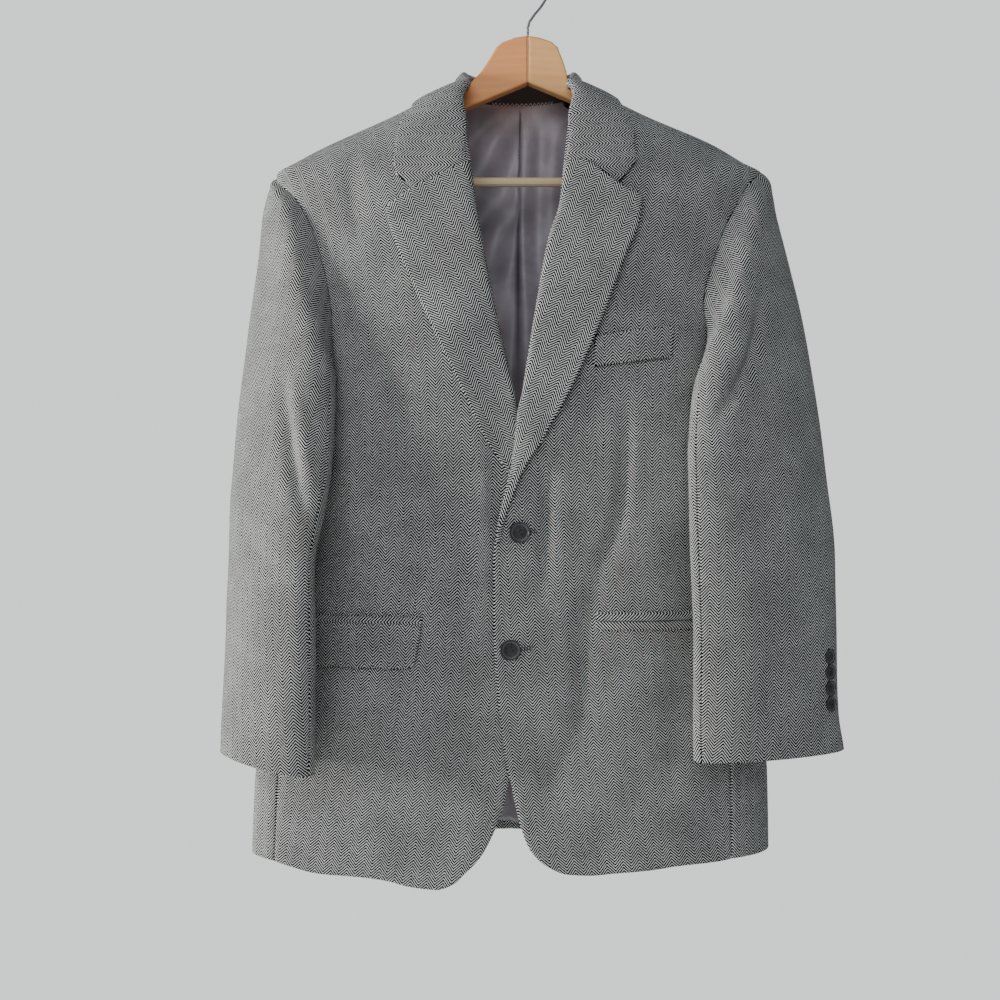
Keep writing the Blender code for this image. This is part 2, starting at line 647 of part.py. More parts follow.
def button(name, place, normal, size):
    """A turned button: dished face, raised rim, resting just off the cloth."""
    radius, thick = size / 2, size * 0.19
    profile = ((0, 0.45), (0.62, 0.45), (0.76, 0.95), (0.9, 1.0), (1.0, 0.6), (0.97, 0.25), (0.7, 0), (0, 0))
    sides = 16
    shape = bmesh.new()
    rings = []
    for share, height in profile[1:-1]:
        ring = []
        for k in range(sides):
            angle = 2 * math.pi * k / sides
            ring.append(shape.verts.new((radius * share * math.cos(angle) * MM,
                                         radius * share * math.sin(angle) * MM, thick * height * MM)))
        rings.append(ring)
    for upper, lower in zip(rings, rings[1:]):
        for k in range(sides):
            shape.faces.new((upper[k], lower[k], lower[(k + 1) % sides], upper[(k + 1) % sides]))
    shape.faces.new(rings[0])
    shape.faces.new(rings[-1][::-1])
    bmesh.ops.recalc_face_normals(shape, faces=shape.faces)
    mesh = bpy.data.meshes.new(name)
    shape.to_mesh(mesh)
    shape.free()
    mesh.shade_smooth()
    mesh.set_sharp_from_angle(angle=math.radians(40))
    made = add_object(name, mesh, "horn")
    made.rotation_euler = facing(normal)
    made.location = [float(value) * MM for value in place]


def facing(normal):
    """The rotation that turns +Z to a direction."""
    return Vector([float(value) for value in normal]).to_track_quat("Z", "Y").to_euler()


def buttons():
    for number, (x, z) in enumerate(FRONT_BUTTONS, 1):
        turn = turn_of(x, z, "left")
        button(f"front_button_{number}", body(turn, z, 0.5), body_normal(turn, z), FRONT_BUTTON)
    for side, heights in CUFF_BUTTONS.items():
        grid, normal = sleeve(side)
        column = int(BUTTON_COLUMN[side])
        part = BUTTON_COLUMN[side] % 1
        line = grid[:, column] * (1 - part) + grid[:, column + 1] * part
        ways = normal[:, column] * (1 - part) + normal[:, column + 1] * part
        for number, z in enumerate(heights, 1):
            place = np.array([np.interp(-z, -line[:, 2], line[:, axis]) for axis in range(3)])
            way = np.array([np.interp(-z, -line[:, 2], ways[:, axis]) for axis in range(3)])
            way = way / np.linalg.norm(way)
            place = place + way * (CLOTH / 2 + 0.7)
            button(f"{side}_cuff_button_{number}", place, way, CUFF_BUTTON)


# ---------------------------------------------------------------- hanger

def ridge_height(x, side):
    """Height of the shoulder's ridge over x."""
    name = "left" if side == "right" else "right"
    reach = BODY_VALUES[name]
    upper = BODY_Z > -230
    order = np.argsort(np.abs(reach[upper]))
    return np.interp(abs(x), np.abs(reach[upper])[order], BODY_Z[upper][order])


def arm_outline(side):
    """Half of the hanger, seen from the front: crown, shoulder, end with the bar's boss, lower edge."""
    way = -1 if side == "right" else 1
    crown = ((0.2, -70), (14, -72), (27, -77), (33, -82), (40, -94), (50, -109), (60, -119), (63, -127))
    if side == "left":
        crown = ((0.2, -70), (12, -72), (24, -76), (31, -82), (36, -95), (40, -107), (42, -126))
    drop = 4.6      # from the jacket's ridge down to the wood
    ends = 214 if side == "right" else 196
    start = 78 if side == "right" else 60
    top = [(x, float(ridge_height(x, side)) - drop) for x in np.linspace(start, ends - 8, 7)]
    end = ((ends, top[-1][1] - 10), (ends, -219), (ends - 8, -229), (ends - 26, -229),
           (ends - 33, -220), (ends - 36, -203), (65, -146), (0.2, -119))
    return [(way * x, z) for x, z in (*crown, *top, *end)]


def hanger_arm(side):
    outline = arm_outline(side)
    if side == "left":
        outline = outline[::-1]
    shape = bmesh.new()
    ring = [shape.verts.new((x * MM, -WOOD / 2 * MM, z * MM)) for x, z in outline]
    face = shape.faces.new(ring)
    grown = bmesh.ops.extrude_face_region(shape, geom=[face])
    moved = [item for item in grown["geom"] if isinstance(item, bmesh.types.BMVert)]
    bmesh.ops.translate(shape, verts=moved, vec=(0, WOOD * MM, 0))
    bmesh.ops.recalc_face_normals(shape, faces=shape.faces)
    name = side + "_hanger_arm"
    mesh = bpy.data.meshes.new(name)
    shape.to_mesh(mesh)
    shape.free()
    made = add_object(name, mesh, "wood_dark" if side == "right" else "wood_light")
    bevel = made.modifiers.new("rounded_edges", "BEVEL")
    bevel.width = 2.0 * MM
    bevel.segments = 2
    bevel.limit_method = "ANGLE"
    bevel.angle_limit = math.radians(50)


def wire_object(name, points, diameter, finish, resolution):
    curve = bpy.data.curves.new(name, "CURVE")
    curve.dimensions = "3D"
    curve.bevel_depth = diameter / 2 * MM
    curve.bevel_resolution = resolution
    curve.use_fill_caps = True
    spline = curve.splines.new("POLY")
    spline.points.add(len(points) - 1)
    for point, (x, y, z) in zip(spline.points, points):
        point.co = (x * MM, y * MM, z * MM, 1)
    return add_object(name, curve, finish)


def hanger():
    for side in ("right", "left"):
        hanger_arm(side)
    wire_object("trouser_bar", [(-179.9, 0, -221), (161.9, 0, -221)], BAR, "wood_light", 3)
    centre = WIRE / 2 - HOOK_RADIUS
    stem = [(0, 0, -69.6), (0, 0, -60), (1.5, 0, -54), (7, 0, -46), (13, 0, -39)]
    loop = []
    for degrees in range(-38, 206, 15):
        angle = math.radians(degrees)
        loop.append((HOOK_RADIUS * math.cos(angle), 0, centre + HOOK_RADIUS * math.sin(angle)))
    wire_object("hook", stem + loop, WIRE, "steel", 2)


# ---------------------------------------------------------------- assembly

for old in list(bpy.data.objects):
    bpy.data.objects.remove(old, do_unlink=True)
PART = bpy.data.collections.new("tweed_hacking_jacket")
bpy.context.scene.collection.children.link(PART)

body_panels()
back_lining()
for jacket_side in ("right", "left"):
    lapel(jacket_side)
    sleeve_pieces(jacket_side)
collar()
for piece, piece_corners in POCKET_PIECES.items():
    pocket_piece(piece, piece_corners, "right" if piece.startswith("right") else "left")
buttons()
hanger()
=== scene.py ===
"""Tweed hacking jacket on a wooden hanger: cloth, buttons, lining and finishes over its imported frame.

Lengths in the tables are in millimetres. The front faces -Y, the wearer's left is +X, +Z is up, and
the origin is the inside top of the hanger's hook.
"""

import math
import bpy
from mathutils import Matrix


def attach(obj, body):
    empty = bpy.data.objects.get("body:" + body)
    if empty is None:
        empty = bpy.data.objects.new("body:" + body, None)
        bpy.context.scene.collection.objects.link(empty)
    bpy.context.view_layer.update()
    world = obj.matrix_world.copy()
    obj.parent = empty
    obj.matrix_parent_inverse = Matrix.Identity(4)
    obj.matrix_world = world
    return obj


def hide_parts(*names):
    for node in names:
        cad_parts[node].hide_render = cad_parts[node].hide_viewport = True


bl_info = {
    "name": "Tweed Jacket Builder",
    "version": (1, 0, 0),
    "blender": (4, 5, 0),
    "location": "3D View > Sidebar > Jacket",
    "description": "Dresses a hanging tweed jacket: panels, lapels, sleeves, pockets, buttons and hanger",
    "category": "Object",
}

import bmesh
import bpy
import numpy as np
from mathutils import Matrix, Vector

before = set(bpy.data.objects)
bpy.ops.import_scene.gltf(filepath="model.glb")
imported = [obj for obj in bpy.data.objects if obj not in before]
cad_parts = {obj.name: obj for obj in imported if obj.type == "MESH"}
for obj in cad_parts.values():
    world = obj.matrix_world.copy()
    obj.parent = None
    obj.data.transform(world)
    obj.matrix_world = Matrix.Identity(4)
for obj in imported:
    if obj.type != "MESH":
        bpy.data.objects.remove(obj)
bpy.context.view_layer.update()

MM = 0.001
WEAVE = 100.0            # millimetres of cloth to one unit of its UV map

CLOTH = 2.2              # tweed with its canvas
LINING = 1.2
SEAM = 0.4               # clearance between two panels at a seam
LIE = 0.8                # clearance under a piece that lies on a panel
LYING = 2 * LIE + CLOTH / 2
PANEL_IN = SEAM / 2 + 0.5    # a panel's edge moves in by this, and its rounded rim comes out again
SLEEVE_IN = SEAM / 2 + 0.47
SLEEVE_CLEARANCE = 3.4
LINING_UP = 12           # from the back's hem up to the lining's
LINING_REACH = 62        # degrees from the middle of the back to the lining's sides
PLEAT_GROOVE = 0.6       # from the pleat's line to its deepest place

# Level sections of the body: left and right ends, depth to the front and to the back, fullness.
BODY_COLUMNS = ("z", "left", "right", "front", "back", "power")
BODY = (
    (-92, -63, 44, 36, 46, 2.1),
    (-104, -65, 46, 38, 48, 2.1),
    (-126, -74, 54, 46, 51, 2.1),
    (-135, -91, 72, 50, 52, 2.2),
    (-146, -117, 98, 53, 54, 2.3),
    (-160, -145, 127, 56, 56, 2.4),
    (-190, -212, 197, 60, 58, 2.5),
    (-207, -245, 226, 62, 60, 2.5),
    (-217, -261, 243, 64, 61, 2.5),
    (-239, -260, 242, 66, 62, 2.6),
    (-280, -240, 222, 69, 62, 2.9),
    (-344, -220, 202, 72, 62, 3.1),
    (-400, -214, 196, 73, 60, 3.1),
    (-460, -216, 198, 72, 57, 3.0),
    (-552, -232, 213, 69, 53, 2.7),
    (-657, -252, 230, 65, 49, 2.6),
    (-761, -271, 243, 61, 46, 2.6),
    (-838, -283, 248, 58, 45, 2.7),
    (-960, -288, 250, 56, 44, 2.7),
)

# Soft folds of the fronts: x0, z0, x1, z1 of the line, half width, depth (a ridge is negative).
FOLDS = (
    (94, -480, 74, -600, 17, 4.0),
    (70, -610, 57, -760, 17, 4.0),
    (54, -775, 18, -860, 18, 4.5),
    (12, -530, 14, -640, 12, 2.5),
    (-56, -540, -52, -800, 24, -3.0),
    (-176, -205, -170, -300, 14, 2.5),
    (-143, -400, -126, -520, 22, 3.0),
    (-194, -585, -196, -800, 20, 7.0),
    (156, -600, 158, -800, 14, 5.0),
)
# Finer creases over them, on the fronts and on the back.
FRONT_CREASES = (
    ((95, -455), (91, -555), (66, -630), 7, 8.0),
    ((66, -630), (53, -690), (54, -790), 11, 6.5),
    ((13, -490), (17, -570), (12, -650), 6, 7.5),
    ((30, -480), (34, -570), (28, -650), 10, -2.0),
    ((-48, -480), (-44, -580), (-46, -700), 13, -5.5),
    ((54, -770), (30, -820), (16, -850), 9, 3.0),
    ((-40, -590), (-70, -630), (-96, -700), 10, 1.6),
    ((-178, -206), (-176, -240), (-170, -290), 8, 2.2),
    ((-150, -240), (-146, -300), (-140, -360), 12, 1.6),
    ((-138, -410), (-130, -460), (-118, -520), 10, 2.4),
    ((186, -420), (150, -470), (120, -500), 10, 1.8),
    ((-205, -430), (-170, -480), (-140, -520), 10, 1.8),
    ((-150, -590), (-60, -580), (-20, -588), 8, 1.0),
    ((150, -700), (146, -780), (140, -860), 14, 2.6),
)
BACK_CREASES = (
    ((-150, -250), (-146, -330), (-150, -400), 12, 2.0),
    ((132, -250), (128, -330), (132, -400), 12, 2.0),
    ((-60, -420), (-54, -560), (-60, -700), 20, 2.4),
    ((40, -420), (34, -560), (44, -700), 20, 2.4),
    ((-190, -420), (-120, -470), (-60, -500), 14, 1.6),
    ((170, -420), (100, -470), (40, -500), 14, 1.6),
)
SLEEVE_CREASES = {
    "right": (
        ((-240, -430), (-229, -500), (-212, -570), 8, 8.0),
        ((-226, -446), (-216, -500), (-208, -545), 9, -4.0),
        ((-256, -300), (-262, -360), (-262, -430), 14, 2.2),
        ((-284, -560), (-262, -600), (-226, -630), 10, 1.8),
        ((-290, -700), (-262, -716), (-230, -712), 12, 1.2),
    ),
    "left": (
        ((230, -345), (215, -412), (180, -474), 7, 8.0),
        ((214, -340), (200, -400), (176, -440), 12, -3.5),
        ((262, -480), (230, -520), (180, -540), 12, 2.0),
        ((222, -560), (232, -660), (230, -760), 16, 2.0),
        ((288, -620), (250, -650), (200, -650), 10, 1.2),
    ),
}

SIDE_SEAM_FRONT = {
    "right": ((-203, -396), (-207, -470), (-221, -560), (-237, -657), (-248, -740), (-254, -838),
              (-258, -918)),
    "left": ((186, -396), (188, -470), (196, -560), (201, -657), (203, -740), (203, -838), (204, -914)),
}
ARMHOLE_FRONT = {
    "right": ((-231, -255), (-217, -284), (-204, -329), (-198, -365)),
    "left": ((217, -241), (203, -266), (185, -311), (174, -352)),
}
ARMHOLE_BACK = {
    "right": ((-238, -250), (-219, -290), (-206, -330), (-201, -368)),
    "left": ((221, -241), (203, -275), (190, -318), (185, -360)),
}
SHOULDER_POINT = {"right": -216, "left": -204}
UNDERARM = {"right": -408, "left": -404}
GRAIN_LINE = {"front": 110, "back": 60}      # from the middle
GRAIN_ENDS = (-760, -300)
SIDE_TURN = {"right": 180.0, "left": 0.0}    # where each side is round the body, in degrees
MID_BACK = 90.0
HEM_FRONT = {
    "right": ((-258, -918), (-239, -922), (-211, -927), (-175, -928), (-145, -931), (-116, -938),
              (-93, -940), (-75, -934), (-66, -925)),
    "left": ((204, -914), (185, -916), (147, -918), (123, -921), (87, -924), (61, -926),
             (39, -925), (28, -922)),
}
EDGE = {
    "right": ((-66, -925), (-50, -909), (-37, -886), (-25, -855), (-18, -826), (-8, -790), (2, -740),
              (4, -690), (4, -610), (0, -560), (-6, -500), (-12, -461), (-24, -407), (-33, -367),
              (-42, -322), (-51, -270), (-58, -219), (-64, -176), (-68, -145)),
    "left": ((28, -922), (12, -913), (-1, -897), (-9, -875), (-15, -850), (-22, -815), (-29, -765),
             (-34, -715), (-35, -670), (-35, -612), (-32, -582), (-24, -542), (-19, -523),
             (-15, -493), (-12, -464), (-8, -445), (-2, -410), (5, -367), (18, -295), (29, -261),
             (34, -218), (39, -176), (44, -145)),
}
NECK_SEAM = {"right": -126, "left": -126, "back": -130}
CENTRE_BACK_HEM = -908
HIND_REACH = 1.15        # how much further round the side panel's back seam lies than its front one
HEM_TURN = 26            # height of the cloth turned up inside the back's hem

LAPEL_ROLL = {
    "right": ((-7, -530), (-9, -500), (-12, -461), (-24, -407), (-33, -367), (-42, -322),
              (-51, -270), (-58, -219)),
    "left": ((-34, -594), (-30, -570), (-24, -542), (-19, -523), (-15, -493), (-12, -464), (-8, -445),
             (-2, -410), (5, -367), (18, -295), (29, -261), (34, -218)),
}
LAPEL_EDGE = {
    "right": ((-18, -532), (-26, -517), (-45, -488), (-69, -437), (-102, -367), (-130, -302),
              (-139, -272), (-140, -264)),
    "left": ((-31, -594), (-26, -572), (-19, -552), (-12, -534), (2, -507), (29, -463), (64, -389),
             (94, -310), (105, -283), (110, -255)),
}
GORGE = {
    "right": ((-58, -219), (-73, -226), (-94, -236), (-114, -246)),
    "left": ((34, -218), (52, -219), (70, -230), (86, -242)),
}
PUFF_FROM = {"right": 0.3, "left": 0.05}
LAPEL_LIFT = {"right": 2.0, "left": 6.5}
COLLAR_TIP = {"right": (-131, -231), "left": (103, -220)}
COLLAR_EDGE = {"right": ((-134, -211), (-131, -192), (-125, -172), (-117, -158)),
               "left": ((103, -205), (103, -190), (98, -170), (90, -152))}
COLLAR_BACK_EDGE = ((-96, -146), (-60, -160), (-10, -167), (42, -160), (77, -146))
FOLD_LINE = {"right": ((-62, -176), (-63, -138)), "left": ((38, -176), (42, -138))}
# The collar's edge at the shoulders and its fold round the neck, as turn and height.
COLLAR_SIDE = ((180, -138), (0, -133))
FOLD_BACK = ((180, -106), (135, -100), (90, -99), (45, -100), (0, -106))
COLLAR_STRIP = 9.0       # width of collar that runs back inside its fold

SLEEVE_COLUMNS = ("xo", "zo", "xi", "zi", "y", "depth", "twist")
SLEEVES = {
    "right": (
        (-262, -216, -216, -404, -2, 48, 0),
        (-268, -224, -203, -418, -11, 54, 14),
        (-276, -250, -193, -436, -25, 56, 36),
        (-281, -304, -191, -462, -34, 56, 44),
        (-288, -368, -191, -490, -41, 55, 46),
        (-294, -436, -192, -525, -50, 54, 46),
        (-299, -508, -198, -566, -60, 52, 46),
        (-301, -586, -206, -618, -70, 48, 46),
        (-301, -668, -206, -686, -76, 42, 42),
        (-303, -740, -206, -750, -78, 38, 38),
        (-305, -800, -207, -814, -78, 36, 36),
    ),
    "left": (
        (243, -205, 198, -400, -2, 48, 0),
        (252, -226, 184, -414, -12, 53, 14),
        (260, -258, 165, -436, -27, 55, 36),
        (272, -312, 159, -460, -36, 53, 44),
        (284, -376, 156, -486, -43, 49, 46),
        (293, -444, 154, -514, -52, 45, 46),
        (300, -528, 154, -560, -62, 39, 46),
        (306, -614, 156, -624, -68, 34, 45),
        (305, -698, 158, -700, -72, 31, 42),
        (306, -760, 157, -766, -74, 29, 40),
        (311, -799, 158, -803, -74, 28, 40),
    ),
}
BAND_FOOT = -125.0
BAND_TOP = ((10, -109), (45, -103), (90, -100.5), (135, -103), (170, -109))
BAND_ENDS, STITCH_ENDS = (172, 8), (118, 50)    # degrees

WIDE_POCKET = 24         # rows of cells in a welt or flap; a jet has fewer
FLAP_CORNER = 10.0       # radius of the flap's rounded corner
# Corners, the clearance under the piece and its rows of cells.
POCKETS = {
    "breast_welt": (((65, -392), (141, -381), (138, -411), (62, -421)), 0.7, WIDE_POCKET),
    "left_pocket_jet_upper": (((67, -664), (196, -664), (196, -671), (67, -671)), 2 * LIE, 8),
    "left_pocket_jet_lower": (((67, -673), (196, -673), (196, -680), (67, -680)), 2 * LIE, 8),
    "right_pocket_jet": (((-107, -668), (-236, -668), (-236, -674), (-107, -674)), 1.3, 8),
    "right_pocket_flap": (((-107, -675), (-240, -675), (-240, -718), (-112, -718)), 1.3, WIDE_POCKET),
}
BUTTON_THICKNESS, HOLE_STEP = 0.17, 0.095    # shares of a button's diameter
# Both ends of each buttonhole, and its height over the cloth.
BUTTONHOLES = (
    ("lapel_buttonhole", ((83, -281), (103, -289)), LYING + CLOTH / 2 + 2.0),
    ("front_buttonhole_1", ((-6, -584), (7, -583)), 0.35),
    ("front_buttonhole_2", ((-15, -700), (3, -698)), 0.35),
)
# Place and size in metres, share of the key light's power, colour.
LIGHTS = (
    ("window_key", (-3.1, -0.74, -0.35), 0.9, 1.0, (1.0, 0.98, 0.95)),
    ("front_fill", (-0.4, -2.4, 0.5), 1.8, 0.22, (0.93, 0.96, 1.0)),
    ("back_fill", (0.6, 1.9, 0.4), 1.6, 0.33, (1.0, 1.0, 1.0)),
)
LIGHT_AIM = (0, 0, -0.5)
CAMERA_X, CAMERA_Z = -0.0292, -0.5523        # metres from the hook
LENS, SENSOR = 40.4, 36.0                    # millimetres
WALL_LIGHT = 1.45

# Counts of cells and steps.
FINE = 7
SHOULDER_CELLS, ARMHOLE_CELLS, SEAM_CELLS = 9 * FINE, 8 * FINE, 13 * FINE
UNDERARM_CELLS, NECK_CELLS = 4 * FINE, 4 * FINE
SLEEVE_ROWS = 150
FORE_SEAM, HIND_SEAM = 1 * FINE, 11 * FINE
SLEEVE_SMOOTHINGS = 3
CREASE_RUNS, ARC_STEPS = 12, 60
NORMAL_TURN, NORMAL_RISE = 0.5, 1.0    # half the span, in degrees and millimetres, a normal is read over


# ---------------------------------------------------------------- the settings a user would change

class JacketClothSettings(bpy.types.PropertyGroup):
    """Weave, yarns and make of the cloth."""

    column_width: bpy.props.FloatProperty(
        name="Column width", description="Width of one herringbone column",
        default=0.0081, min=0.002, unit="LENGTH")
    rib_pitch: bpy.props.FloatProperty(
        name="Rib pitch", description="Height of one pair of light and dark ribs",
        default=0.0031, min=0.001, unit="LENGTH")
    rib_slope: bpy.props.FloatProperty(
        name="Rib slope", description="Rise of a rib over its run", default=1.12)
    light_yarn: bpy.props.FloatVectorProperty(
        name="Light yarn", description="Colour of the off-white warp", subtype="COLOR",
        default=(0.95, 0.955, 0.93))
    dark_yarn: bpy.props.FloatVectorProperty(
        name="Dark yarn", description="Colour of the near-black weft", subtype="COLOR",
        default=(0.004, 0.005, 0.007))
    lining_colour: bpy.props.FloatVectorProperty(
        name="Lining", description="Colour of the satin lining", subtype="COLOR",
        default=(0.44, 0.385, 0.435))
    roll_strip: bpy.props.FloatProperty(
        name="Turned strip", description="Width of the facing that runs back inside a rolled edge",
        default=0.014, min=0.002, unit="LENGTH")


class JacketTrimSettings(bpy.types.PropertyGroup):
    """Buttons, thread and hanger."""

    front_button: bpy.props.FloatProperty(
        name="Front button", description="Diameter of a front button", default=0.0205, unit="LENGTH")
    cuff_button: bpy.props.FloatProperty(
        name="Cuff button", description="Diameter of a cuff button", default=0.015, unit="LENGTH")
    horn: bpy.props.FloatVectorProperty(
        name="Horn", description="Base colour of the buttons", subtype="COLOR",
        default=(0.030, 0.030, 0.033))
    dark_wood: bpy.props.FloatVectorProperty(
        name="Right arm wood", description="Colour of the hanger's right arm", subtype="COLOR",
        default=(1.0, 0.43, 0.16))
    light_wood: bpy.props.FloatVectorProperty(
        name="Left arm wood", description="Colour of the hanger's left arm and bar", subtype="COLOR",
        default=(1.0, 0.54, 0.21))


class JacketStageSettings(bpy.types.PropertyGroup):
    """Floor, light and camera."""

    floor_drop: bpy.props.FloatProperty(
        name="Floor drop", description="Distance of the floor below the hook",
        default=2.0, unit="LENGTH")
    room_light: bpy.props.FloatProperty(
        name="Room light", description="Strength of the even light from all round", default=0.24, min=0)
    key_power: bpy.props.FloatProperty(
        name="Key light", description="Power of the soft light from the window side", default=124.0,
        unit="POWER")
    camera_distance: bpy.props.FloatProperty(
        name="Camera distance", description="Distance of the camera in front of the hook",
        default=1.17, unit="LENGTH")


# ---------------------------------------------------------------- curves and the body's form

def column(rows, columns, name):
    return np.array([row[columns.index(name)] for row in rows], float)


def smooth_steps(x, known_x, known_y):
    """Values on a monotone cubic curve through the known points; known_x rises."""
    known_x, known_y = np.asarray(known_x, float), np.asarray(known_y, float)
    step = np.diff(known_x)
    slope = np.diff(known_y) / step
    tangent = np.empty(len(known_x))
    tangent[0], tangent[-1] = slope[0], slope[-1]
    same = slope[:-1] * slope[1:] > 0
    mean = 2 * slope[:-1] * slope[1:] / np.where(same, slope[:-1] + slope[1:], 1)
    tangent[1:-1] = np.where(same, mean, 0)
    x = np.clip(np.asarray(x, float), known_x[0], known_x[-1])
    index = np.clip(np.searchsorted(known_x, x) - 1, 0, len(step) - 1)
    t = (x - known_x[index]) / step[index]
    return (
        known_y[index] * (1 + 2 * t) * (1 - t) ** 2
        + tangent[index] * step[index] * t * (1 - t) ** 2
        + known_y[index + 1] * t * t * (3 - 2 * t)
        + tangent[index + 1] * step[index] * t * t * (t - 1)
    )


def along(points, count, turn_weight=1.0, straight=False):
    """count + 1 points at even lengths on a curve, or on straight runs, through the given ones."""
    points = np.asarray(points, float)
    steps = np.diff(points, axis=0) * (turn_weight, *(1,) * (points.shape[1] - 1))
    length = np.concatenate([[0], np.cumsum(np.linalg.norm(steps, axis=1))])
    places = np.linspace(0, length[-1], count + 1)
    curve = np.interp if straight else smooth_steps
    return np.stack([curve(places, length, points[:, k]) for k in range(points.shape[1])], 1)


def between(bottom, top, start, end, low=2.0, high=3.0, sides=1.0):
    """Grid of points between four edges: bottom and top run across, start and end run up."""
    u = np.linspace(0, 1, len(bottom))[None, :, None]
    v = np.linspace(0, 1, len(start))[:, None, None]
    first = (1 - v) * start[0] + v * start[-1]
    last = (1 - v) * end[0] + v * end[-1]
    flanks = (1 - u) ** sides * (start[:, None] - first) + u**sides * (end[:, None] - last)
    foot = bottom[None] - (1 - u) * bottom[0] - u * bottom[-1]
    head = top[None] - (1 - u) * top[0] - u * top[-1]
    return (1 - u) * first + u * last + flanks + (1 - v) ** low * foot + v**high * head


def unit(vectors):
    return vectors / np.maximum(np.linalg.norm(vectors, axis=-1, keepdims=True), 1e-9)


def ease(share):
    """A soft step from 0 to 1."""
    share = np.clip(share, 0, 1)
    return share * share * (3 - 2 * share)


def beside(x, z, start, end):
    """The share along a straight line, and the distance from it."""
    run = end - start
    t = np.clip(((x - start[0]) * run[0] + (z - start[1]) * run[1]) / (run @ run), 0, 1)
    return t, np.hypot(x - start[0] - t * run[0], z - start[1] - t * run[1])


BODY_Z = column(BODY, BODY_COLUMNS, "z")[::-1]
BODY_VALUES = {name: column(BODY, BODY_COLUMNS, name)[::-1] for name in BODY_COLUMNS[1:]}


def section(z, name):
    return smooth_steps(z, BODY_Z, BODY_VALUES[name])


def signed_power(value, power):
    return np.sign(value) * np.abs(value) ** power


def fold_depth(x, z):
    """How far the soft folds push the fronts inwards."""
    total = np.zeros_like(x)
    for x0, z0, x1, z1, spread, depth in FOLDS:
        share, off = beside(x, z, np.array([x0, z0], float), np.array([x1, z1], float))
        fade = np.sin(np.pi * (0.12 + 0.76 * share)) ** 0.7
        total += depth * fade * np.exp(-0.5 * (off / spread) ** 2)
    return total


def crease_depth(x, z, creases):
    """Depth of creases, each a bent line of three places with a half width and a depth."""
    total = np.zeros_like(x)
    for *places, spread, depth in creases:
        line = along(places, CREASE_RUNS)
        near, share = np.full(x.shape, np.inf), np.zeros(x.shape)
        for k in range(CREASE_RUNS):
            t, off = beside(x, z, line[k], line[k + 1])
            share = np.where(off < near, (k + t) / CREASE_RUNS, share)
            near = np.minimum(near, off)
        fade = np.sin(np.pi * (0.04 + 0.92 * share)) ** 0.8
        dip, brink = np.exp(-((near / spread) ** 2)), np.exp(-((near / spread / 2.2) ** 2))
        total += depth * fade * (dip - 0.35 * brink)
    return total


def ripple(x, z, size):
    """Low unevenness of hanging cloth."""
    return size * (
        0.45 * np.sin(x * 0.041 + 0.6 * np.sin(z * 0.017 + 1.3))
        + 0.35 * np.sin(x * 0.067 - z * 0.021 + 2.1)
        + 0.25 * np.sin(x * 0.026 + z * 0.047 + 0.4)
        + 0.16 * np.sin(x * 0.13 + z * 0.031 + 1.1)
    )


def plain_form(turn, z):
    """A point of the body without its folds; turn is 0 at the left, 90 back, 180 right, 270 front."""
    turn, z = np.broadcast_arrays(np.asarray(turn, float), np.asarray(z, float))
    angle = np.radians(turn)
    power = 2 / section(z, "power")
    left, right = section(z, "left"), section(z, "right")
    x = (left + right) / 2 + (right - left) / 2 * signed_power(np.cos(angle), power)
    side = np.sin(angle)
    depth = np.where(side < 0, section(z, "front"), section(z, "back"))
    return np.stack([x, depth * signed_power(side, power), z], -1)


def body_base(turn, z):
    """A point of the body's outside."""
    form = plain_form(turn, z)
    x, y, z = form[..., 0], form[..., 1], form[..., 2]
    side = 3 * np.broadcast_to(np.sin(np.radians(turn)), x.shape)
    low = np.clip((-170 - z) / 60, 0, 1)
    front_in = fold_depth(x, z) + low * (crease_depth(x, z, FRONT_CREASES) + ripple(x, z, 0.9))
    back_in = low * (crease_depth(x, z, BACK_CREASES) + ripple(x, z + 400, 1.2))
    return np.stack([x, y + np.clip(-side, 0, 1) * front_in - np.clip(side, 0, 1) * back_in, z], -1)


def body_normal(turn, z):
    turn, z = np.asarray(turn), np.asarray(z)
    across = body_base(turn + NORMAL_TURN, z) - body_base(turn - NORMAL_TURN, z)
    rise = body_base(turn, z + NORMAL_RISE) - body_base(turn, z - NORMAL_RISE)
    return unit(np.cross(across, rise))


def on_body(grid):
    """Places and outward ways of a grid of (turn, z) on the body's outside."""
    return body_base(grid[..., 0], grid[..., 1]), body_normal(grid[..., 0], grid[..., 1])


def body(turn, z, out):
    """A point out millimetres outside the body's surface."""
    return body_base(turn, z) + body_normal(turn, z) * np.asarray(out, float)[..., None]


def turn_of(x, z, where):
    """The turn at which the body reaches x, on the right or left front or on the back."""
    x, z = np.asarray(x, float), np.asarray(z, float)
    left, right = section(z, "left"), section(z, "right")
    share = np.clip((x - (left + right) / 2) / ((right - left) / 2), -0.9998, 0.9998)
    turn = np.degrees(np.arccos(signed_power(share, section(z, "power") / 2)))
    return {"right": 360 - turn, "left": -turn, "back": turn}[where]


def to_turns(points, where):
    points = np.asarray(points, float)
    return np.stack([turn_of(points[..., 0], points[..., 1], where), points[..., 1]], -1)


def under_lap(places, side):
    """How far a front moves out: the right one lies under the left one near the closing."""
    x, z = places[..., 0], places[..., 2]
    if side == "left":
        return np.zeros_like(x)
    edge = np.interp(-z, (200, 461, 612, 700, 828, 940), (-12, -12, -35, -34, -19, 60))
    depth = np.interp(-z, (300, 440, 550, 630, 835, 890), (0, 8.5, 8.0, 4.6, 4.4, 0))
    return -depth * ease((x - (edge - 70)) / 62)


